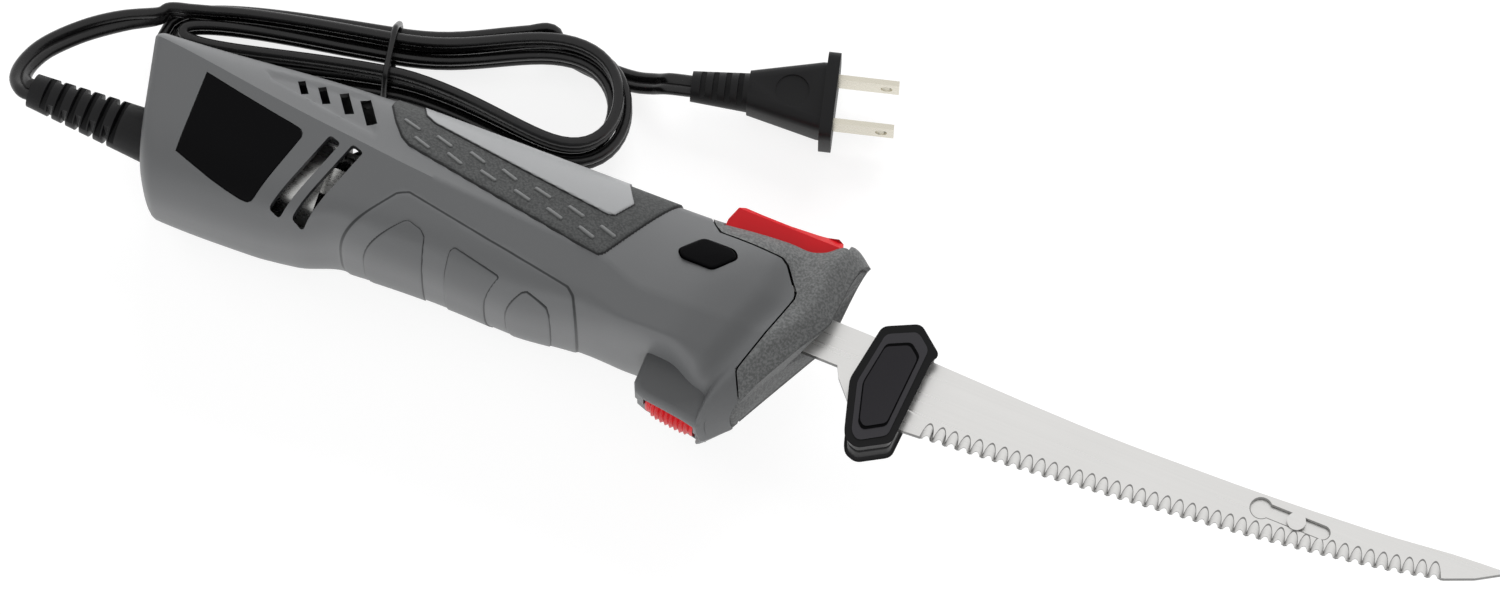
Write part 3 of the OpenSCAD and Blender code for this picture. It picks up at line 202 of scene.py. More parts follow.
def mesh_grid(name, points, round_way=False):
    """A grid primitive whose vertices are moved onto rows of points, in metres."""
    rows, columns = points.shape[:2]
    if round_way:
        points = np.concatenate([points, points[:, :1]], axis=1)
        columns += 1
    piece = added(name, bpy.ops.mesh.primitive_grid_add,
                  x_subdivisions=columns - 1, y_subdivisions=rows - 1, size=1)
    places = vertex_places(piece)
    column = np.rint((places[:, 0] + 0.5) * (columns - 1)).astype(int)
    row = np.rint((places[:, 1] + 0.5) * (rows - 1)).astype(int)
    move_vertices(piece, points[row, column])
    return piece


def closed_loft(name, rings):
    """A closed piece through rings of points, in millimetres, each end drawn to its middle."""
    rings = np.asarray(rings, float)
    ends = [np.repeat(rings[k].mean(0)[None, None], rings.shape[1], axis=1) for k in (0, -1)]
    piece = mesh_grid(name, laid(np.concatenate([ends[0], rings, ends[1]])), round_way=True)
    in_edit(piece, merge, outwards)
    return piece


def plate(name, outline, low, high):
    """A flat form in side view, from a polygon, between two heights over the middle plane."""
    piece = added(name, bpy.ops.mesh.primitive_circle_add,
                  vertices=len(outline), fill_type="NGON", radius=1)
    move_vertices(piece, laid([[x, y, low] for x, y in outline]))
    in_edit(piece, lambda: bpy.ops.mesh.extrude_region_move(
        TRANSFORM_OT_translate={"value": (0, 0, (high - low) * MM)}), outwards)
    return piece


def block(name, centre, size, turn=0.0, tilt=0.0):
    """A cutter box, turned in side view and tilted round the handle's length, in degrees."""
    piece = added(name, bpy.ops.mesh.primitive_cube_add, size=1)
    piece.scale = [v * MM for v in size]
    piece.rotation_euler = (math.radians(tilt), 0, math.radians(turn))
    piece.location = laid(centre)
    bpy.ops.object.transform_apply(location=True, rotation=True, scale=True)
    return piece


def join(pieces, name):
    bpy.ops.object.select_all(action="DESELECT")
    for piece in pieces:
        piece.select_set(True)
    bpy.context.view_layer.objects.active = pieces[0]
    bpy.ops.object.join()
    pieces[0].name = name
    return pieces[0]


def copy_of(node, name):
    """A copy of a part's own mesh, merged and with its flat faces whole again."""
    piece = nodes[node].copy()
    piece.data = nodes[node].data.copy()
    piece.name = name
    piece.parent = None
    for key in list(piece.keys()):
        del piece[key]
    bpy.context.scene.collection.objects.link(piece)
    in_edit(piece, merge, lambda: bpy.ops.mesh.dissolve_limited(angle_limit=math.radians(0.5)))
    return piece


def mirrored(piece, name):
    """A copy for the other side of the knife, with its own mesh."""
    twin = piece.copy()
    twin.data = piece.data.copy()
    twin.name = name
    bpy.context.scene.collection.objects.link(twin)
    places = vertex_places(twin)
    places[:, 2] = 2 * MIDDLE - places[:, 2]
    twin.data.flip_normals()
    move_vertices(twin, places)
    return twin


def moved_across(piece, name):
    """The piece itself, taken to the other side of the knife."""
    twin = mirrored(piece, name)
    bpy.data.objects.remove(piece)
    return twin


def face_out(piece, centre=(100, 8, 0)):
    """Turns an open sheet's faces away from a point inside it."""
    middle = Vector(laid(centre))
    lean = sum(f.normal.dot(f.center - middle) * f.area for f in piece.data.polygons)
    if lean < 0:
        in_edit(piece, bpy.ops.mesh.flip_normals)


def delete_where(piece, doomed):
    """Deletes the vertices that a mask names."""
    in_edit(piece, lambda: bpy.ops.mesh.select_all(action="DESELECT"))
    piece.data.vertices.foreach_set("select", doomed)
    bpy.ops.object.mode_set(mode="EDIT")
    bpy.ops.mesh.delete(type="VERT")
    bpy.ops.object.mode_set(mode="OBJECT")


def note(piece, name, values, domain="POINT"):
    """Writes a value for each vertex or face into the mesh, for its material to read."""
    attribute = piece.data.attributes.new(name, "FLOAT", domain)
    attribute.data.foreach_set("value", np.asarray(values, np.float32).ravel())


# ---------------------------------------------------------------- materials
class Value:
    """A number that runs through a material, with Python's own operators."""

    def __init__(self, tree, socket):
        self.tree = tree
        self.socket = socket

    def maths(self, operation, *others):
        node = self.tree.nodes.new("ShaderNodeMath")
        node.operation = operation
        for place, other in enumerate(others):
            if isinstance(other, Value):
                self.tree.links.new(other.socket, node.inputs[place])
            else:
                node.inputs[place].default_value = other
        return Value(self.tree, node.outputs[0])

    def __add__(self, other):
        return self.maths("ADD", self, other)

    def __radd__(self, other):
        return self.maths("ADD", other, self)

    def __sub__(self, other):
        return self.maths("SUBTRACT", self, other)

    def __rsub__(self, other):
        return self.maths("SUBTRACT", other, self)

    def __mul__(self, other):
        return self.maths("MULTIPLY", self, other)

    def __rmul__(self, other):
        return self.maths("MULTIPLY", other, self)

    def __truediv__(self, other):
        return self.maths("DIVIDE", self, other)

    def __rtruediv__(self, other):
        return self.maths("DIVIDE", other, self)

    def size(self):
        return self.maths("ABSOLUTE", self)

    def within(self):
        """The value, held between 0 and 1."""
        return self.maths("MINIMUM", self.maths("MAXIMUM", self, 0.0), 1.0)


class Graph:
    """The nodes of a material or of the world."""

    def __init__(self, tree):
        self.tree = tree

    def node(self, kind, settings=None, **sockets):
        node = self.tree.nodes.new(kind)
        for key, value in (settings or {}).items():
            setattr(node, key, value)
        for key, value in sockets.items():
            self.feed(node.inputs[key.replace("_", " ")], value)
        return node

    def feed(self, socket, value):
        if isinstance(value, Value):
            value = value.socket
        if isinstance(value, bpy.types.NodeSocket):
            self.tree.links.new(value, socket)
        else:
            socket.default_value = value

    def rays(self, *kinds):
        """For each kind of ray, 1 where such a ray arrives."""
        path = self.node("ShaderNodeLightPath")
        return [Value(self.tree, path.outputs["Is " + kind + " Ray"]) for kind in kinds]


class Finish(Graph):
    """A material that is built up node by node."""

    def __init__(self, name):
        self.material = bpy.data.materials.new(name)
        self.material.use_nodes = True
        super().__init__(self.material.node_tree)
        self.shader = self.tree.nodes["Principled BSDF"]
        self.place = self.node("ShaderNodeTexCoord").outputs["Object"]

    def noise(self, scale, detail=2.0, place=None):
        node = self.node("ShaderNodeTexNoise", Vector=place or self.place, Scale=scale, Detail=detail)
        return Value(self.tree, node.outputs[0])

    def stretched(self, scale):
        """Object coordinates squeezed along chosen axes."""
        return self.node("ShaderNodeMapping", Vector=self.place, Scale=scale).outputs[0]

    def noted(self, name):
        """A value that was noted in the piece's own mesh."""
        node = self.node("ShaderNodeAttribute", {"attribute_name": name})
        return Value(self.tree, node.outputs["Fac"])

    def blend(self, first, second, factor):
        """A colour between two; a Mix node has its colours at sockets 6 and 7."""
        node = self.node("ShaderNodeMix", {"data_type": "RGBA"})
        for place, value in ((0, factor), (6, first), (7, second)):
            self.feed(node.inputs[place], value)
        return node.outputs[2]

    def bump(self, height, distance):
        """Relief by a height from 0 to 1, at a distance in millimetres."""
        node = self.node("ShaderNodeBump", Height=height, Distance=distance * MM, Strength=1.0)
        self.feed(self.shader.inputs["Normal"], node.outputs[0])

    def fixed(self, **values):
        for key, value in values.items():
            self.shader.inputs[key.replace("_", " ")].default_value = value

    def varying(self, **values):
        for key, value in values.items():
            self.feed(self.shader.inputs[key.replace("_", " ")], value)


def rgb(*levels):
    """A colour as it is seen, 0 to 255, as the shader's linear numbers."""
    linear = [(v / 255 / 12.92) if v <= 10 else ((v / 255 + 0.055) / 1.055) ** 2.4 for v in levels]
    return (*linear, 1.0)


def shade(colour, share):
    """A colour made lighter or darker."""
    return (*(min(1, c * share) for c in colour[:3]), 1.0)


def mottle(cloud, speck, sparkle):
    """Share of the pale tone: a soft cloud, or with sparkle a sharp speckle."""
    if sparkle:
        return ((speck - 0.5) * sparkle + 0.45).within()
    return cloud * 0.7 + speck * 0.3


def moulded(name, colour, roughness, grain=0.02, grain_scale=2600, coat=0.0, spread=0.06, sheen=0.5,
            sparkle=0.0, edge_shade=None):
    """Moulded plastic: mottled colour, fine grain and uneven gloss.

    Its last setting, (colour, reach, at), is painted shade: a dark line of that colour where the
    piece's rim value is near `at`, standing in for the shade along a groove or step at the piece's
    edge.
    """
    finish = Finish(name)
    cloud = finish.noise(45, 4)
    speck = finish.noise(grain_scale, 2)
    tone = finish.blend(shade(colour, 1 - spread), shade(colour, 1 + spread),
                        mottle(cloud, speck, sparkle))
    # Painted shade: a dark line along the piece's edge, where a groove or step is in shade
    if edge_shade:
        line, reach, at = edge_shade
        away = (finish.noted("rim") - at).size()
        tone = finish.blend(tone, line, ((1.0 - away / reach) * 2.0).within())
    finish.varying(
        Base_Color=tone,
        Roughness=roughness + (cloud - 0.5) * 0.12 + (speck - 0.5) * 0.1)
    finish.bump(speck + finish.noise(grain_scale * 0.33, 1) * 0.6, grain)
    finish.fixed(Coat_Weight=coat, Coat_Roughness=0.25, IOR=1.48, Specular_IOR_Level=sheen)
    return finish.material


def metal(name, colour, roughness, way=(30, 900, 900), ground_shade=0.0):
    """Metal with the fine lines that grinding or turning leaves; slanted faces can be painted darker,
    as shade.
    """
    finish = Finish(name)
    lines = finish.noise(1.0, 4, finish.stretched(way))
    cloud = finish.noise(30, 3)
    tone = finish.blend(shade(colour, 0.86), colour, lines * 0.5 + cloud * 0.5)
    if ground_shade:
        # Painted shade: the more a face slants, the darker its colour
        slant = (finish.noted("slant") * 1.7 - 0.05).within()
        tone = finish.blend(tone, shade(colour, 1 - ground_shade), slant)
    finish.varying(
        Base_Color=tone,
        Roughness=roughness + (lines - 0.5) * 0.16 + (cloud - 0.5) * 0.06)
    finish.bump(lines, 0.004)
    finish.fixed(Metallic=1.0)
    return finish.material


FINE = {"grain": 0.012, "grain_scale": 3200, "spread": 0.03}
COARSE = {"grain": 0.1, "grain_scale": 1500, "spread": 0.3, "sparkle": 4.0}
STIPPLED = {"grain": 0.03, "grain_scale": 1500}

PLASTIC = moulded("shell_plastic", rgb(96, 97, 98), 0.42, **FINE)
# The dark lines of these finishes are painted shade along the edges of the relief band, the inlays, the
# insert and the pad
SHELL = moulded("shell_edge_shade", rgb(94, 95, 96), 0.42, sheen=0.35,
                edge_shade=(rgb(40, 41, 42), 0.42, -0.15), **FINE)
INLAY = moulded("inlay_plastic", rgb(90, 91, 92), 0.42, sheen=0.35,
                edge_shade=(rgb(36, 37, 38), 0.35, 0.5), **FINE)
INSERT_FACE = moulded("insert_plastic", rgb(140, 141, 142), 0.36, sheen=0.35,
                      edge_shade=(rgb(18, 18, 19), 0.35, 0.45), **FINE)
RUBBER = moulded("pad_rubber", rgb(94, 95, 95), 0.6, **COARSE)
PAD_FACE = moulded("pad_edge_shade", rgb(62, 63, 63), 0.6, sheen=0.35,
                   edge_shade=(rgb(24, 24, 25), 0.35, 0.35), **COARSE)
DASH = moulded("dash_rubber", rgb(104, 105, 105), 0.5, grain=0.03, grain_scale=1900, spread=0.08)
BLACK = moulded("black_plastic", rgb(14, 14, 15), 0.45, sheen=0.25)
LABEL = moulded("label_black", rgb(7, 7, 8), 0.55, grain=0.004, spread=0.1, sheen=0.06)
LOCK = moulded("lock_black", rgb(5, 5, 6), 0.5, grain=0.01, sheen=0.05)
HUB = moulded("hub_plastic", rgb(9, 9, 10), 0.36, sheen=0.2, **STIPPLED)
# Painted highlight: the grey band round the hub's panel stands for the lit lip of its groove
HUB_LIT_BAND = moulded("hub_lit_band", rgb(50, 49, 52), 0.45, sheen=0.25, **STIPPLED)
# Painted shade: a black ring in place of the shade in the groove round the hub's panel
HUB_GROOVE_SHADE = moulded("hub_lining", rgb(5, 5, 6), 0.6, grain=0.01, sheen=0.05)
HUB_PANEL = moulded("hub_panel", rgb(34, 33, 36), 0.5, sheen=0.2, **STIPPLED)
RED = moulded("red_plastic", rgb(186, 12, 22), 0.36, grain=0.008, spread=0.05, sheen=0.4)
CORD = moulded("cord_rubber", rgb(12, 11, 12), 0.28, grain_scale=900, sheen=0.45)
# The blade's finish paints shade on faces by their noted slant
BLADE = metal("blade_steel", rgb(234, 233, 231), 0.3, way=(14, 1500, 1500), ground_shade=0.72)
STEEL = metal("steel", rgb(200, 200, 198), 0.28)
COPPER = metal("copper", rgb(190, 112, 70), 0.35, way=(600, 90, 90))
BRASS = metal("brass", rgb(206, 186, 134), 0.3)
NICKEL = metal("prong_nickel", rgb(226, 221, 206), 0.28)
NYLON = moulded("nylon", rgb(228, 226, 216), 0.45)
CARBON = moulded("carbon", rgb(42, 42, 44), 0.6)
BOARD = moulded("board", rgb(26, 92, 52), 0.4, coat=0.4)

SLOT_FINISHES = {
    "shell_plastic": PLASTIC, "pad_rubber": RUBBER, "black_plastic": BLACK, "label_black": LABEL,
    "hub_plastic": HUB, "red_plastic": RED, "blade_steel": BLADE, "steel": STEEL, "cord_rubber": CORD,
    "copper": COPPER, "brass": BRASS, "nylon": NYLON, "carbon": CARBON, "board": BOARD}
NODE_FINISHES = {"plug_prongs": NICKEL}


def dress_nodes():
    """Every part's own mesh gets the finish of its slot, or one of its own."""
    for row in frame["record"]["subparts"]:
        piece = nodes[row["node"]]
        finish = NODE_FINISHES.get(row["node"], SLOT_FINISHES[row["material_slot"]])
        piece.data.materials.clear()
        piece.data.materials.append(finish)


# ---------------------------------------------------------------- cord
CORD_W = 6.2
CORD_T = 3.0
CORD_VALLEY = 0.62  # half the thickness between the two cores
TABLE = -22.0

# The hank is wound on edge, in two layers round a loop that is drawn in at the tie
HANK_AT = (56.0, 44.0)
HANK_TURN = math.radians(12.5)
HANK_LAYER = TABLE + CORD_W / 2 + 0.1
HANK_RISE = CORD_W + 0.5
HANK_START = 105  # degrees round the loop at turn 0
HANK_STEPS = 24  # to a turn
HANK_FIRST, HANK_LAST = -27, 51
HANK_FINER = 4
STRAND_PITCH = 3.8
LOOP_LIFT = 4.2  # of the right end, over the lead and the tail

# Right and left half of the loop
LOOP_REACH = (61.0, 56.0)
LOOP_BELLY = (27.0, 3.0)
LOOP_DROOP = (4.5, 2.5)
LOOP_WAIST = 2.2

CORD_EXIT = np.array([-26.46, -6.0, 0.0])
PLUG_AT = np.array([134.0, 69.5, -14.0])
PLUG_WAY = np.array([math.cos(math.radians(16)), math.sin(math.radians(16)), 0.0])
ROUTE_STEPS = 6  # in each span of the lead and the tail


def loop_point(a):
    c = np.cos(a)
    reach, belly, droop = (np.where(c > 0, *halves) for halves in (LOOP_REACH, LOOP_BELLY, LOOP_DROOP))
    return np.stack([reach * c, np.sin(a) * (LOOP_WAIST + belly * c ** 2) - droop * c ** 2], -1)


def hank_points(turn):
    """The two layers of the hank, at turns from 0, where it passes from one to the other."""
    a = np.radians(HANK_START - 360 * turn)
    step = np.radians(0.5)
    ahead = loop_point(a + step) - loop_point(a - step)
    normal = unit(np.stack([ahead[:, 1], -ahead[:, 0]], -1))
    flat = loop_point(a) + normal * (STRAND_PITCH * np.abs(turn))[:, None]
    height = HANK_LAYER + HANK_RISE * ease(0.5 - 2 * turn) + LOOP_LIFT * ease((flat[:, 0] - 10) / 36)
    cos, sin = math.cos(HANK_TURN), math.sin(HANK_TURN)
    return np.stack([
        HANK_AT[0] + flat[:, 0] * cos - flat[:, 1] * sin,
        HANK_AT[1] + flat[:, 0] * sin + flat[:, 1] * cos, height], -1)


def curve_through(points):
    """A smooth line through points, the same number of steps in each span."""
    points = np.asarray(points, float)
    padded = np.vstack([2 * points[0] - points[1], points, 2 * points[-1] - points[-2]])
    line = []
    for k in range(1, len(padded) - 2):
        p0, p1, p2, p3 = padded[k - 1:k + 3]
        for t in np.arange(ROUTE_STEPS) / ROUTE_STEPS:
            line.append(0.5 * ((2 * p1) + (p2 - p0) * t + (2 * p0 - 5 * p1 + 4 * p2 - p3) * t ** 2
                               + (3 * p1 - p0 - 3 * p2 + p3) * t ** 3))
    line.append(points[-1])
    return np.array(line)


def spread(angles):
    """Angles at points, as angles at every step between them."""
    places = np.arange((len(angles) - 1) * ROUTE_STEPS + 1) / ROUTE_STEPS
    return np.interp(places, np.arange(len(angles)), angles)


def cord_route():
    """Points of the whole cord and the turn of its flat section at each."""
    coarse = hank_points(np.arange(HANK_FIRST, HANK_LAST + 1) / HANK_STEPS)
    way_in = unit(coarse[1] - coarse[0])
    way_out = unit(coarse[-1] - coarse[-2])
    meet_in = coarse[0] - way_in * CORD_W
    meet_out = coarse[-1] + way_out * CORD_W
    lead = [CORD_EXIT, CORD_EXIT - [2.4, 0, 0], [-31.8, -3, -3], [-32.6, 2, -6], [-31, 8.5, -8.5],
            [-27, 15, -10.5], [-21.5, 21, -11.5], [-14.5, 26.5, -12], [-7, 31, HANK_LAYER + HANK_RISE],
            meet_in - way_in * CORD_W, meet_in]
    lead_turn = [0, 0, 0, 0, 5, 15, 30, 50, 75, 90, 90]
    tail = [meet_out, meet_out + way_out * CORD_W, [95, 68.4, -19.6], [102, 67, -20.3],
            [110, 66.4, -20.35], [118, 66.6, -19.6], [124, 67.3, -17],
            PLUG_AT - PLUG_WAY * CORD_W, PLUG_AT]
    tail_turn = [90, 85, 40, 5, 0, 0, 0, 0, 0]
    fine = hank_points(np.arange(HANK_FIRST * HANK_FINER, HANK_LAST * HANK_FINER + 1)
                       / (HANK_STEPS * HANK_FINER))
    route = np.vstack([curve_through(lead)[:-1], fine, curve_through(tail)[1:]])
    turn = np.concatenate([spread(lead_turn)[:-1], np.full(len(fine), 90.0), spread(tail_turn)[1:]])
    return route, np.radians(turn)


def twin_section():
    """Outline of a flat twin cord: two round cores with a valley between them."""
    radius = CORD_T / 2
    centre = CORD_W / 2 - radius
    open_angle = math.radians(142)
    angles = np.linspace(-open_angle, open_angle, 10)
    right = np.stack([centre + radius * np.cos(angles), radius * np.sin(angles)], -1)
    return np.vstack([right, [[0, CORD_VALLEY]], -right, [[0, -CORD_VALLEY]]])


def add_cord():
    route, turn = cord_route()
    ahead = unit(np.gradient(route, axis=0))
    side = unit(np.cross([0, 0, 1], ahead))
    over = np.cross(ahead, side)
    cos, sin = np.cos(turn)[:, None], np.sin(turn)[:, None]
    wide, thin = cos * side + sin * over, cos * over - sin * side
    section = twin_section()
    rings = route[:, None] + wide[:, None] * section[None, :, :1] + thin[:, None] * section[None, :, 1:]
    piece = closed_loft("power_cord", rings)
    smooth(piece, 50)
    settle(piece, "handle", "cord_rubber", CORD, "cord_lead", "cord_hank", "cord_tail")


# The tie's line: sideways across the hank, and height
TIE_LINE = [(-10.6, -20.9), (-10.6, -16.2), (-6.4, -8.6), (-4.6, -7.9), (6.6, -7.9), (8.3, -8.8),
            (12.5, -16.2), (12.5, -20.9), (11.2, -21.2), (-9.4, -21.2)]
TIE_R = 0.85


def add_tie():
    """A wire drawn tight round the strands of the hank."""
    corners = np.array(TIE_LINE)
    line = []
    for before, here, after in zip(np.roll(corners, 1, 0), corners, np.roll(corners, -1, 0)):
        first, last = here + (before - here) * 0.3, here + (after - here) * 0.3
        line += corner_curve(first, here, last, (0.0, 0.35, 0.5, 0.65))
    line = np.array(line + line[:1])
    across = np.array([-math.sin(HANK_TURN), math.cos(HANK_TURN), 0])
    level = np.array([math.cos(HANK_TURN), math.sin(HANK_TURN), 0])
    route = np.array([*HANK_AT, 0]) + line[:, :1] * across + line[:, 1:] * [0, 0, 1]
    ahead = unit(np.gradient(np.vstack([route[-2], route, route[1]]), axis=0)[1:-1])
    out = np.cross(ahead, level)
    turn = np.linspace(0, 2 * math.pi, 13)[:-1]
    ring = np.cos(turn)[None, :, None] * level + np.sin(turn)[None, :, None] * out[:, None]
    piece = mesh_grid("tie_loop", laid(route[:, None] + TIE_R * ring), round_way=True)
    in_edit(piece, merge, outwards)
    smooth(piece, 60)
    settle(piece, "handle", "cord_rubber", CORD, "cord_tie")


# ---------------------------------------------------------------- the handle's surface
# Each table runs along the handle: (distance from its rear, value)
SPINE = [(0, 20), (64, 28.3), (124, 30.1), (156, 31), (177, 32.6), (190, 35.2), (195.5, 38.3),
         (201, 35)]
BELLY = [(0, -20), (6, -24.8), (44, -23.6), (57, -21.7), (69, -17.2), (100, -16.2), (116, -16.4),
         (137, -13.8), (155, -12.7), (165, -13), (178, -16.5), (188, -19.5), (195.5, -27.6), (201, -21)]
CREASE = [(0, 15), (44, 9.6), (69, 7.4), (82, 6.5), (136, 3), (150, -1), (170, 0), (201, 5)]
WIDTH = [(0, 20), (12, 21.6), (25, 22), (62, 22), (80, 21), (110, 20.4), (160, 20.4), (178, 17.2),
         (187, 13.2), (195.5, 14.4), (201, 10.4)]
SHOULDER = [(0, 0.5), (155, 0.5), (175, 0.75), (201, 0.85)]
PROW = [(165, 0), (187, 0.16), (195.5, 0.3), (201, 0.33)]
FACET = [(0, 36), (58, 36), (100, 30), (136, 20), (160, 12), (201, 12)]
FLAT = [(0, 18), (58, 16), (100, 9), (201, 8)]
REAR_LEAN = [(0, 0.29), (30, 0.12), (50, 0)]
FRONT_LEAN = [(150, 0), (165, 0.12), (178, 0.25), (188, 0.36), (195.5, 0.43), (201, 0.48)]
REAR_TOP = 20  # height that the rear end leans back from
BEND_Y = 13  # height below which the nose leans back
BELLY_POWER = 2 / 2.8  # 1 is an ellipse, less is squarer
EDGE_R = 3.0
WALL = 2.5
MOUTH = 201.0


def along(table, u):
    """A smooth line through a table, level at its turning points."""
    x, y = np.array(table, float).T
    slopes = np.diff(y) / np.diff(x)
    knots = np.empty(len(x))
    knots[0], knots[-1] = slopes[0], slopes[-1]
    for k in range(1, len(x) - 1):
        a, b = slopes[k - 1], slopes[k]
        knots[k] = 0 if a * b <= 0 else 2 * a * b / (a + b)
    k = np.clip(np.searchsorted(x, u, side="right") - 1, 0, len(x) - 2)
    h = x[k + 1] - x[k]
    q = np.clip((u - x[k]) / h, 0, 1)
    return ((2 * q ** 3 - 3 * q ** 2 + 1) * y[k] + (q ** 3 - 2 * q ** 2 + q) * h * knots[k]
            + (3 * q ** 2 - 2 * q ** 3) * y[k + 1] + (q ** 3 - q ** 2) * h * knots[k + 1])


def handle_surface(u, s, inset=0.0):
    """The handle's left side, in millimetres.

    u runs along it, and s from the spine (0) over the crease (1) and the flat (2) to the belly (3).
    """
    u, s, inset = np.broadcast_arrays(*(np.asarray(v, float) for v in (u, s, inset)))
    top, low = along(SPINE, u) - inset, along(BELLY, u) + inset
    w, crease = along(WIDTH, u) - inset, along(CREASE, u)
    flat = crease - along(FLAT, u)
    reach = 0.5 * (top - crease)
    q = np.clip(s, 0, 1)
    a, b, c, d = (1 - q) ** 3, 3 * q * (1 - q) ** 2, 3 * q * q * (1 - q), q ** 3
    facet = reach * np.tan(np.radians(along(FACET, u)))
    up_y = (a + b) * top + c * (crease + reach) + d * crease
    up_z = b * along(SHOULDER, u) * w + c * (w - facet) + d * w
    mid_y = crease + (flat - crease) * np.clip(s - 1, 0, 1)
    turn = np.radians(90) * np.clip(s - 2, 0, 1)
    low_y = flat - (flat - low) * np.sin(turn) ** BELLY_POWER
    low_z = w * np.maximum(np.cos(turn), 0) ** BELLY_POWER
    y = np.where(s <= 1, up_y, np.where(s <= 2, mid_y, low_y))
    z = np.where(s <= 1, up_z, np.where(s <= 2, w, low_z))
    z = np.where(s >= 3, 0.0, z)
    x = (u + along(REAR_LEAN, u) * (REAR_TOP - y) - along(FRONT_LEAN, u) * np.maximum(0, BEND_Y - y)
         - along(PROW, u) * z)
    return np.stack([x, y, z], -1)


def round_steps(upper, side, lower):
    """Places from spine to belly: numbers of points down to the crease, the flat and the belly."""
    return np.concatenate([
        np.linspace(0, 1, upper)[:-1], np.linspace(1, 2, side)[:-1], np.linspace(2, 3, lower)])


def full_ring(u, inset, s):
    half = handle_surface(u, s, inset)
    return np.concatenate([half, half[-2:0:-1] * [1, 1, -1]])


def grid_normals(points):
    rows, columns = np.gradient(points, axis=0), np.gradient(points, axis=1)
    normal = np.cross(columns, rows)
    size = np.linalg.norm(normal, axis=2, keepdims=True)
    return normal / np.maximum(size, 1e-9)


def inside_by(points, outline):
    """Millimetres inside an outline in side view, negative outside it."""
    a = np.array(outline, float)
    b = np.roll(a, -1, axis=0)
    p = points[..., None, :2]
    edge = b - a
    share = np.clip(((p - a) * edge).sum(-1) / (edge ** 2).sum(-1), 0, 1)
    gap = np.linalg.norm(p - a - share[..., None] * edge, axis=-1).min(-1)
    fall = np.where(edge[:, 1] == 0, 1e-9, edge[:, 1])
    crosses = ((a[:, 1] > p[..., 1]) != (b[:, 1] > p[..., 1])) & (
        p[..., 0] < edge[:, 0] * (p[..., 1] - a[:, 1]) / fall + a[:, 0])
    return np.where(crosses.sum(-1) % 2 == 1, gap, -gap)


# ---------------------------------------------------------------- shells and collar
# Outlines in side view: (distance along the handle, height)
SEAM = [(157.2, 30.5), (159.2, 27.6), (161.8, 25.6), (179.8, 25.2), (181.8, 24), (187, 17.2),
        (187.2, 15.2), (181.3, -9.3), (181.4, -10.5), (185, -17), (186, -32)]
SEAM_START = (151, 50)
SEAM_BEYOND = [(260, -32), (260, 50)]
SEAM_GAP = 0.5
RELIEF_BAND = [(69, -30), (69, -18), (79.8, -1.8), (82.6, -0.3), (131.7, -8.1), (133.8, -9.6),
               (136.8, -14.7), (137.4, -30)]
VENT_STRIP = [(33, 18.6), (60, 24.6), (67, 12.4), (60, 12.9), (35, 16.6)]
BAND_HEIGHT = 0.45
STRIP_DEPTH = 0.9
NO_RIM = -9.0  # a rim value far from every painted shade line

# Lines down the label, each from its upper to its lower end
LABEL_LINES = np.array([
    ((19.5, 9.6), (20.8, -13.4)), ((27, 8.2), (26.5, -15.2)), ((34, 7), (32, -16.8)),
    ((40, 6), (37, -17.9)), ((46, 5.1), (41.5, -18.6)), ((48.6, 4.6), (43.4, -18.6)),
    ((49.6, 3.6), (44.4, -18)), ((49.8, 2.4), (44.9, -16.9))])
LABEL_MIDDLE = [34, -4.5]
LABEL_HALF = 14

# Vents over the spine: (along, height, width, length)
SPINE_VENTS = [(43.2, 18.2, 2.0, 5), (49.2, 18.5, 2.2, 6.5), (55.6, 18.9, 2.5, 8), (62, 18.9, 2.9, 9.5)]

LOCK_AT = [161.5, 16.8]
LOCK_LINE = [(-7.6, -1.9), (-5.8, -4.2), (2.9, -4.2), (7.6, 1.9), (5.8, 4.2), (-2.9, 4.2)]
LOCK_CORNER = 1.4
LOCK_ROOM = 0.45

RELEASE_X = 168.0
RELEASE_LONG = 14.5
RELEASE_WIDE = 11.0
RELEASE_GAP = 0.35
HOOD_TOP = -10.9
HOOD = [(156.2, HOOD_TOP), (156.4, -21.2), (157.6, -23.6), (160.5, -24.6), (166, -25.2), (172, -26),
        (176.4, -26.9), (178.2, -26), (178.2, HOOD_TOP)]
HOOD_HALF = 8.2


def shell_sheet(name):
    """The left shell's outside as one fine sheet, with its low reliefs in it."""
    u = stepped((EDGE_R, 30, 1.5), (30, 66, 0.9), (66, 140, 0.7), (140, 190, 1.3), (190, MOUTH, 0.8))
    s = round_steps(27, 13, 34)
    body = handle_surface(u[:, None], s[None, :])
    normal = grid_normals(body)
    band = inside_by(body, RELIEF_BAND)
    strip = inside_by(body, VENT_STRIP)
    height = BAND_HEIGHT * rise(band, 0.9) - STRIP_DEPTH * rise(strip, 1.3)
    body = body + normal * height[..., None]
    body[:, 0, 2] = 0
    body[:, -1, 2] = 0
    turn = np.radians(np.linspace(0, 90, 7)[:-1])[:, None]
    corner = handle_surface(EDGE_R * (1 - np.cos(turn)), s[None, :], EDGE_R * (1 - np.sin(turn)))
    centre = corner[0].mean(0) * [1, 1, 0]
    back = np.stack([centre + (corner[0] - centre) * share for share in np.linspace(0, 1, 6)[:-1]])
    points = np.concatenate([back, corner, body])
    # The rim value tells the finish where to paint its line of shade along the relief band's edge
    rim = np.full(points.shape[:2], NO_RIM)
    rim[-len(u):] = band
    piece = mesh_grid(name, laid(points))
    note(piece, "rim", rim)
    in_edit(piece, merge)
    face_out(piece)
    return piece


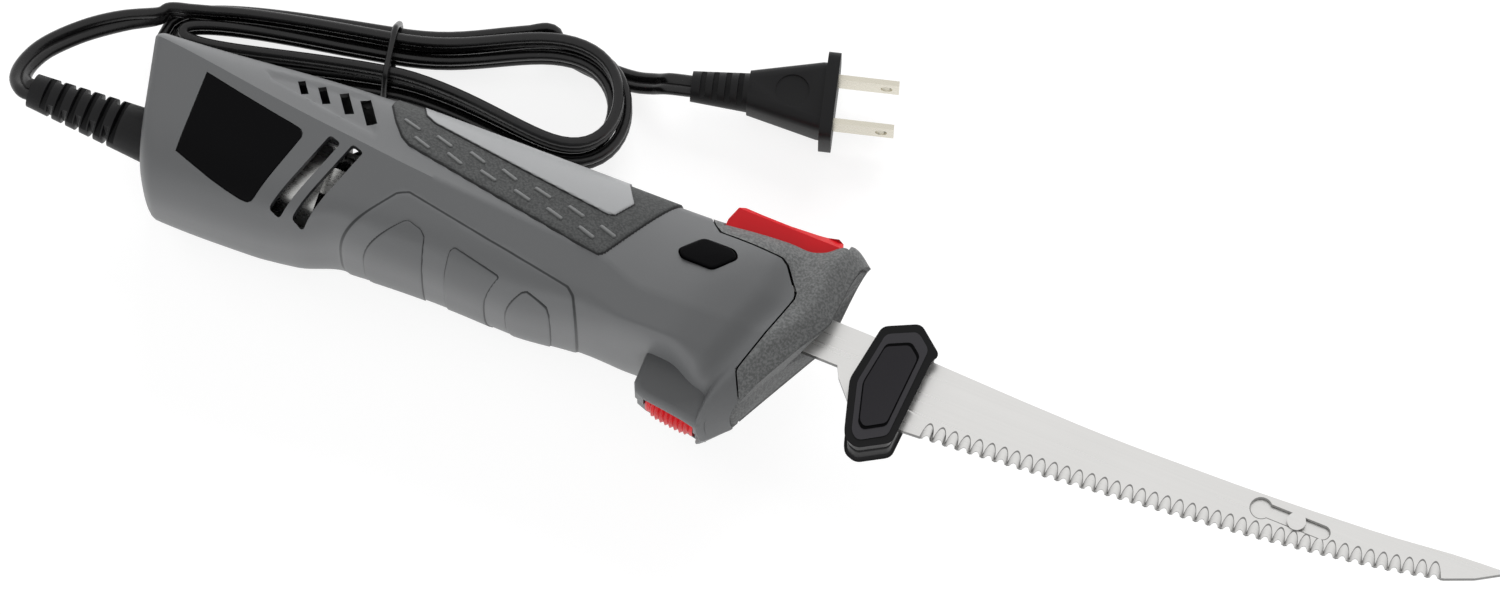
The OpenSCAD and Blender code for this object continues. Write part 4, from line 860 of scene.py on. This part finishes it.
def label_slab(name, low, high, grow, steps):
    """The label's form between two heights over the shell's side, grown all round."""
    at = np.linspace(0, len(LABEL_LINES) - 1, steps)
    first, last = (
        np.stack([np.interp(at, range(len(LABEL_LINES)), LABEL_LINES[:, end, k]) for k in (0, 1)], -1)
        for end in (0, 1))
    flat = first[:, None] + (last - first)[:, None] * np.linspace(0, 1, steps)[None, :, None]
    flat = flat + (flat - LABEL_MIDDLE) * grow / LABEL_HALF
    u = flat[..., 0]
    for _ in range(6):  # the rear end leans, so the place along it is found by steps
        u = flat[..., 0] - along(REAR_LEAN, u) * (REAR_TOP - flat[..., 1])
    profile = handle_surface(u[..., None], np.linspace(0, 3, 400))
    z = np.empty(u.shape)
    for k in np.ndindex(u.shape):
        z[k] = np.interp(-flat[k][1], -profile[k][:, 1], profile[k][:, 2])
    under, over = (np.concatenate([flat, (z + h)[..., None]], -1) for h in (low, high))
    return closed_loft(name, np.concatenate([over, under[:, ::-1]], axis=1))


def vent_cutters():
    tools = [block("vent", (55 + 6.6 * k, -6.6, 24), (3.7, 25.5, 24), turn=-16.5) for k in range(2)]
    for tool in tools:
        modify(tool, "BEVEL", width=0.9 * MM, segments=3, limit_method="ANGLE")
    return tools + [block("spine_vent", (x, y, 20), (wide, long, 24), turn=36)
                    for x, y, wide, long in SPINE_VENTS]


def lock_outline(grow):
    corners = np.array(LOCK_LINE)
    size = np.linalg.norm(corners, axis=1, keepdims=True)
    return rounded(corners * (1 + grow / size), LOCK_CORNER) + LOCK_AT


def release_room(y, height):
    size = (RELEASE_LONG + 2 * RELEASE_GAP, height, RELEASE_WIDE + 2 * RELEASE_GAP)
    return block("release_room", (RELEASE_X, y, 0), size)


def shell_cutters(is_left):
    seam = [(x - SEAM_GAP, y - SEAM_GAP * (17 < y < 27)) for x, y in SEAM]
    tools = [
        plate("seam", [SEAM_START] + seam + SEAM_BEYOND, -3, 40), *vent_cutters(),
        label_slab("label_pocket", -0.8, 4, 0.3, 30), release_room(-23.5, 31),
        added("cord_hole", bpy.ops.mesh.primitive_cylinder_add, vertices=48, radius=4.7 * MM,
              depth=30 * MM, location=laid((8, -6, 0)), rotation=(0, math.radians(90), 0))]
    if is_left:
        tools.append(plate("lock_room", lock_outline(LOCK_ROOM), 8, 30))
    return tools


def release_hood(is_left):
    """The hood over the release; its lower line is higher on the right."""
    lift = 0 if is_left else 1.3
    hood = plate("hood", [(x, y if y == HOOD_TOP else y + lift) for x, y in HOOD], 0, HOOD_HALF)
    round_edges(hood, 2.4, 5)
    carve(hood, [release_room(-25, 40)])
    # No painted shade line on the hood
    note(hood, "rim", [NO_RIM] * len(hood.data.vertices))
    return hood


def add_shells():
    for name, is_left in (("left_handle_half", True), ("right_handle_half", False)):
        piece = shell_sheet(name)
        modify(piece, "SOLIDIFY", thickness=WALL * MM, offset=-1, use_even_offset=True)
        carve(piece, shell_cutters(is_left))
        piece = join([piece, release_hood(is_left)], name)
        if not is_left:
            piece = moved_across(piece, "right_handle_side")
        smooth(piece, 32)
        settle(piece, "handle", "shell_plastic", SHELL, "left_shell" if is_left else "right_shell")


def add_collar():
    """The flared nose, one sheet round both sides, cut off along the seam."""
    u = stepped((143, 185, 1.4), (185, MOUTH, 0.6))
    s = round_steps(27, 9, 30)
    half = handle_surface(u[:, None], s[None, :])
    other = half[:, -2:0:-1] * [1, 1, -1]
    piece = mesh_grid("nose_collar", laid(np.concatenate([half, other], axis=1)), round_way=True)
    in_edit(piece, merge)
    face_out(piece, (180, 8, 0))
    modify(piece, "SOLIDIFY", thickness=WALL * MM, offset=-1, use_even_offset=True)
    carve(piece, [plate("keep", [SEAM_START] + SEAM + SEAM_BEYOND, -40, 40)], "INTERSECT")
    carve(piece, [block("paddle_room", (177.5, 36, 0), (33.6, 30, 13))])
    smooth(piece, 32)
    settle(piece, "handle", "pad_rubber", RUBBER, "front_collar")


# ---------------------------------------------------------------- grip
PAD = [(65, 45), (66, 24), (69.5, 18.8), (73.2, 14.6), (76.2, 12.8), (131, 3.4), (135.6, 2.9),
       (137.2, 4.4), (148.6, 30.5), (149, 45)]
INSERT = [(72, 45), (73, 28), (75.6, 24.2), (79, 22.6), (132.6, 15.4), (135, 16), (138.3, 22.4),
          (133.8, 29.2), (133, 45)]
INLAYS = [
    [(74.9, -30), (75.3, -16.6), (84.2, -7.6), (85.6, -6.9), (89.9, -7.9), (91.7, -9.4), (93.6, -16.2),
     (94, -30)],
    [(99.6, -30), (98.2, -10.5), (99, -9.1), (100, -8.7), (113.5, -11), (114.4, -11.9), (111.2, -17),
     (109, -30)],
    [(113.5, -30), (115.4, -17), (120.4, -12.3), (121.9, -11.7), (128.2, -12.8), (129.5, -13.8),
     (131.4, -17), (133, -30)]]
INLAY_SOFT = 0.7  # width of the shoulder round an inlay
INLAY_ROOT = 0.4  # how far its edge goes into the shell

# Middles of the dashes, in two rows
DASHES = [(74.2, 19.7), (84.1, 18.5), (94.2, 17.7), (104.1, 16.3), (114.5, 14.8), (124.9, 13.1),
          (135, 11), (79.1, 15.2), (89, 14.4), (99.2, 13.3), (109.9, 11.5), (120, 9.8), (130, 8.1)]
DASH_SIZE = [5.4, 1.15, 1.0]
DASH_FALL = 0.16  # per half millimetre along
DASH_LIFT = 0.65


def inlay(name, outlines, height, us, ss, both=False):
    """A raised skin that follows the handle inside outlines, with its edge let into the surface."""
    body = handle_surface(us[:, None], ss[None, :])
    if both:
        body = np.concatenate([body[:, :0:-1] * [1, 1, -1], body], axis=1)
    normal = grid_normals(body)
    outward = np.sign((normal * (body - [100, 5, 0])).sum())
    inside = np.max([inside_by(body, outline) for outline in outlines], axis=0)
    lift = (height + INLAY_ROOT) * rise(inside - INLAY_SOFT / 2, INLAY_SOFT) - INLAY_ROOT
    body = body + outward * normal * lift[..., None]
    if not both:
        body[:, ss >= 3, 2] = 0
    piece = mesh_grid(name, laid(body))
    # The rim value tells the finish where to paint its line of shade along the skin's edge
    note(piece, "rim", inside)
    delete_where(piece, (inside < -0.8).ravel())
    face_out(piece)
    smooth(piece, 60)
    return piece


def add_grip():
    pad = inlay("grip_pad_skin", [PAD], 0.7, stepped((64, 150, 0.45)), np.linspace(0, 1.35, 75),
                both=True)
    settle(pad, "handle", "pad_rubber", PAD_FACE, "grip_pad")
    insert = inlay("grip_insert_skin", [INSERT], 1.2, stepped((71, 140, 0.45)),
                   np.linspace(0, 0.85, 60), both=True)
    settle(insert, "handle", "shell_plastic", INSERT_FACE, "grip_insert")
    side = inlay("left_grip_inlays", INLAYS, 0.75, stepped((72, 135, 0.5)), np.linspace(1.3, 3, 90))
    twin = mirrored(side, "right_grip_inlays")
    settle(side, "handle", "shell_plastic", INLAY, "left_side_pads")
    settle(twin, "handle", "shell_plastic", INLAY, "right_side_pads")


def add_dashes():
    """Raised dashes in two rows on each side of the pad."""
    s = np.linspace(0, 1, 300)
    made = []
    for x, y in DASHES:
        lines = handle_surface(np.array([x - 0.5, x, x + 0.5])[:, None], s[None, :])
        behind, k, ahead = (
            int(np.argmin(np.abs(line[:, 1] - height)))
            for line, height in zip(lines, (y + DASH_FALL, y, y - DASH_FALL)))
        way = unit(lines[2, ahead] - lines[0, behind])
        up = unit(np.cross(unit(lines[1, k + 1] - lines[1, k - 1]), way))
        up = up if up[2] > 0 else -up
        across = np.cross(up, way)
        for side in (1, -1):
            dash = added("dash", bpy.ops.mesh.primitive_cube_add, size=1)
            local = vertex_places(dash) * DASH_SIZE
            places = lines[1, k] + up * DASH_LIFT + local @ np.array([way, across, up])
            move_vertices(dash, laid(places * [1, 1, side]))
            made.append(dash)
    piece = join(made, "pad_dashes")
    in_edit(piece, outwards)
    modify(piece, "BEVEL", width=0.42 * MM, segments=3)
    smooth(piece, 60)
    settle(piece, "handle", "pad_rubber", DASH)


def add_labels():
    left = label_slab("left_label", -0.5, -0.05, 0, 40)
    right = mirrored(left, "right_label_face")
    for piece, node in ((left, "left_label_plate"), (right, "right_label_plate")):
        smooth(piece, 30)
        settle(piece, "handle", "label_black", LABEL, node)


# ---------------------------------------------------------------- blades, hubs and buttons
RIVET_AT = (332.0, 12.9)
SLOT_BACK, SLOT_FRONT = -10, 7.5  # middles of the slot's ends, from the rivet
SLOT_R, SLOT_END_R = 1.85, 2.85

HUB_X = 218.0
HUB_LINE = [(-8.6, 2.2), (-6.4, 18.6), (2, 22.8), (9, 17.2), (7.8, 15.4), (6.9, -9.6), (-0.6, -14.2),
            (-3.4, -13.2), (-4.4, -11.4)]
HUB_PANEL_LINE = [(-6.4, 2.4), (-4.7, 16.1), (2, 19.4), (5.8, 16.4), (5.1, -7.4), (-0.9, -11.2),
                  (-2.8, -9.8)]
HUB_CORNER = 1.2

# The hub's levels: name, outline, share of it, from, to, edge, finish
HUB_LEVELS = [
    ("body", HUB_LINE, 1.0, 0.15, 6.0, 1.5, HUB),
    # The grey band is a painted highlight, and the black ring inside it is painted groove shade
    ("band", HUB_PANEL_LINE, 1.1, 5.6, 6.2, 0.3, HUB_LIT_BAND),
    ("lining", HUB_PANEL_LINE, 0.9, 6.0, 6.3, 0.1, HUB_GROOVE_SHADE),
    ("panel", HUB_PANEL_LINE, 0.83, 6.1, 6.5, 0.15, HUB_PANEL)]

LOCK_FACE = 16.1  # height of the middle of the lock's face
LOCK_TILT = -23

RELEASE_ROOT = -12.0
RIB_PITCH = 1.45
RIB_DEPTH = 0.75


def softened(node, name, body, slot, finish, width, segments):
    """A part's own form with its edges rounded as a mould leaves them."""
    piece = copy_of(node, name)
    round_edges(piece, width, segments, angle=28)
    smooth(piece, 35)
    settle(piece, body, slot, finish, node)


def depth_in(piece):
    """Height of each vertex over the plane between the two blades."""
    return np.abs(vertex_places(piece)[:, 2] - MIDDLE)


def slot_outline(grow):
    """The rivet's slot with its wider end, grown all round."""
    half, wide = SLOT_R + grow, SLOT_END_R + grow
    start = math.asin(half / wide)
    ends = ((SLOT_BACK, wide, np.linspace(start, 2 * math.pi - start, 28)),
            (SLOT_FRONT, half, np.linspace(-math.pi / 2, math.pi / 2, 18)))
    return [(RIVET_AT[0] + x + radius * math.cos(a), RIVET_AT[1] + radius * math.sin(a))
            for x, radius, angles in ends for a in angles]


def ground_faces(piece):
    """Painted shade for each face: 1 for the faces cut below the blade's flat by the grind and round
    its slot, and the lean of the others.
    """
    depth = depth_in(piece)
    values = []
    for face in piece.data.polygons:
        lean = 1 - abs(face.normal.z)
        under = depth.max() - np.array([depth[k] for k in face.vertices])
        ground_shade = 3e-4 < lean < 0.7 and under.max() < 0.25 * MM
        rim = 0.03 * MM < under.min() and under.max() < 0.12 * MM
        values.append(1.0 if ground_shade or rim else lean)
    return values


def add_blades():
    """The blades, with a fine line of facets along the grind and a rim round the slot, both painted
    dark as shade.
    """
    for side, up in (("left", 1), ("right", -1)):
        piece = copy_of(side + "_blade", side + "_blade_ground")
        top = depth_in(piece).max()
        cut = laid((0, 0, 0)) + np.array([0, 0, up * (top - 0.13 * MM)])
        # The usual threshold of a bisect would swallow so shallow a cut
        in_edit(piece, lambda: bpy.ops.mesh.bisect(
            plane_co=tuple(cut), plane_no=(0, 0, 1), threshold=1e-6))
        if side == "left":
            # A shallow step round the slot, whose faces the finish paints dark as shade
            high = top / MM
            carve(piece, [plate("slot_rim", slot_outline(0.24), high - 0.08, high + 1)])
        values = ground_faces(piece)
        smooth(piece, 13)
        note(piece, "slant", values, "FACE")
        settle(piece, side + "_drive", "blade_steel", BLADE, side + "_blade")


def add_rivet():
    piece = copy_of("blade_rivet", "rivet_turned")
    # Painted shade: the blade's finish darkens the rivet's faces the more they slant
    values = [1 - abs(face.normal.z) for face in piece.data.polygons]
    smooth(piece, 13)
    note(piece, "slant", values, "FACE")
    settle(piece, "right_drive", "steel", BLADE, "blade_rivet")


def add_mouth_face():
    """The nose's front face, just inside the lip, with the slot that the tangs go through."""
    s = round_steps(15, 7, 21)
    piece = closed_loft("mouth_face", [full_ring(u, 2.3, s) for u in (198.4, 200.4)])
    carve(piece, [block("tang_slot", (198, 11.8, 0), (60, 12.7, 2.6))])
    smooth(piece, 30)
    settle(piece, "handle", "black_plastic", RUBBER, "mouth_seal")


def add_lock_button():
    """The lock button, cut off along a face that leans as the shell does there."""
    piece = plate("lock_button_moulded", lock_outline(0), 11, 22)
    x, y = LOCK_AT
    half = 10
    lean = math.radians(LOCK_TILT)
    under_face = (x, y + half * math.sin(lean), LOCK_FACE - half * math.cos(lean))
    carve(piece, [block("under_face", under_face, (30, 30, 2 * half), tilt=LOCK_TILT)], "INTERSECT")
    round_edges(piece, 0.7, 4, angle=40)
    smooth(piece, 35)
    settle(piece, "lock", "black_plastic", LOCK, "lock_button")


def add_release():
    """The release button: a rounded thumb pad with a row of sharp ribs."""
    end, side = RELEASE_LONG / 2, RELEASE_WIDE / 2
    x = np.linspace(-end, end, 121)
    teeth = np.abs(((x + end) / RIB_PITCH) % 1 - 0.5) * 2
    low = np.interp(x, [-end, -4.5, 0, 4.5, end], [-24.4, -26.0, -26.7, -27.1, -26.5])
    rings = []
    for z in np.linspace(-side, side, 23):
        round_up = 1.6 * (abs(z) / side) ** 2.4
        under = low + round_up + RIB_DEPTH * teeth * (np.abs(x) < 6.6)
        ring = [(-end, RELEASE_ROOT), (end, RELEASE_ROOT), *zip(x[::-1], under[::-1])]
        rings.append([(RELEASE_X + a, b, z) for a, b in ring])
    piece = closed_loft("blade_release_moulded", rings)
    smooth(piece, 25)
    settle(piece, "release", "red_plastic", RED, "blade_release")


def hub_level(name, outline, share, low, high, edge):
    """One level of the hub, from its outline drawn in towards the middle."""
    middle = np.mean(outline, axis=0)
    line = middle + (np.array(outline) - middle) * share
    piece = plate(name, rounded(line, HUB_CORNER * share) + [HUB_X, 0], low, high)
    round_edges(piece, edge, 3)
    return piece


def add_hubs():
    """A hub for each blade: a black body with bevelled edges, and a face in three levels: a grey band
    of painted highlight, a black ring of painted groove shade, and the panel.
    """
    for side in ("left", "right"):
        for level, outline, share, low, high, edge, finish in HUB_LEVELS:
            piece = hub_level(side + "_hub_" + level, outline, share, low, high, edge)
            replaced = [side + "_hub"] if level == "body" else []
            if level == "body":
                carve(piece, [copy_of("left_blade", "blade_room")])
            if side == "right":
                piece = moved_across(piece, piece.name + "_far")
            smooth(piece, 35)
            settle(piece, side + "_drive", "hub_plastic", finish, *replaced)


# ---------------------------------------------------------------- floor and light
LIT_POINT = Vector((0, 0, 0.02))

# Soft panels: name, place, size, power
PANELS = [
    ("back_panel", (-0.25, 1.3, 0.55), 1.0, 26),
    ("top_panel", (-1.1, 0.1, 1.2), 0.8, 4),
    ("front_panel", (0.1, -1.2, 0.25), 0.8, 14)]


def add_floor():
    """A pale floor that glows where it is looked at or mirrored, and keeps the shadow."""
    floor = added("floor", bpy.ops.mesh.primitive_plane_add, size=8, location=(0, 0, -0.0002))
    finish = Finish("floor_paper")
    finish.fixed(Base_Color=(0.86, 0.86, 0.86, 1))
    finish.varying(Roughness=0.85 + finish.noise(8) * 0.1)
    camera_ray, glossy_ray, passing_ray = finish.rays("Camera", "Glossy", "Transmission")
    glow = finish.node("ShaderNodeEmission", Color=(1, 1, 1, 1), Strength=1.2)
    mix = finish.node("ShaderNodeMixShader")
    share = (camera_ray + glossy_ray + passing_ray).within() * 0.7
    for place, value in enumerate((share, finish.shader.outputs[0], glow.outputs[0])):
        finish.feed(mix.inputs[place], value)
    finish.feed(finish.tree.nodes["Material Output"].inputs["Surface"], mix.outputs[0])
    floor.data.materials.append(finish.material)


def add_light():
    """White air that is seen and mirrored more than it lights, and three soft panels."""
    world = bpy.data.worlds.new("studio_air")
    bpy.context.scene.world = world
    world.use_nodes = True
    air = Graph(world.node_tree)
    background = air.tree.nodes["Background"]
    camera_ray, glossy_ray = air.rays("Camera", "Glossy")
    air.feed(background.inputs["Strength"], 0.3 + camera_ray * 0.7 + glossy_ray * 0.64)
    air.feed(background.inputs["Color"], (1, 1, 1, 1))
    for name, place, size, power in PANELS:
        bpy.ops.object.light_add(type="AREA", location=place)
        lamp = bpy.context.object
        lamp.name = name
        lamp.data.size = size
        lamp.data.energy = power
        lamp.visible_glossy = False
        lamp.rotation_euler = turn_to(LIT_POINT - Vector(place))


add_camera()
dress_nodes()
add_shells()
add_collar()
add_grip()
add_dashes()
add_labels()
softened("power_paddle", "power_paddle_moulded", "paddle", "red_plastic", RED, 0.9, 4)
add_lock_button()
add_release()
add_hubs()
add_blades()
add_rivet()
add_mouth_face()
softened("strain_relief", "strain_relief_moulded", "handle", "black_plastic", BLACK, 0.3, 2)
softened("plug_body", "plug_moulded", "handle", "black_plastic", BLACK, 0.5, 3)
add_tie()
add_cord()
add_floor()
add_light()
bpy.context.scene.view_settings.view_transform = "Standard"
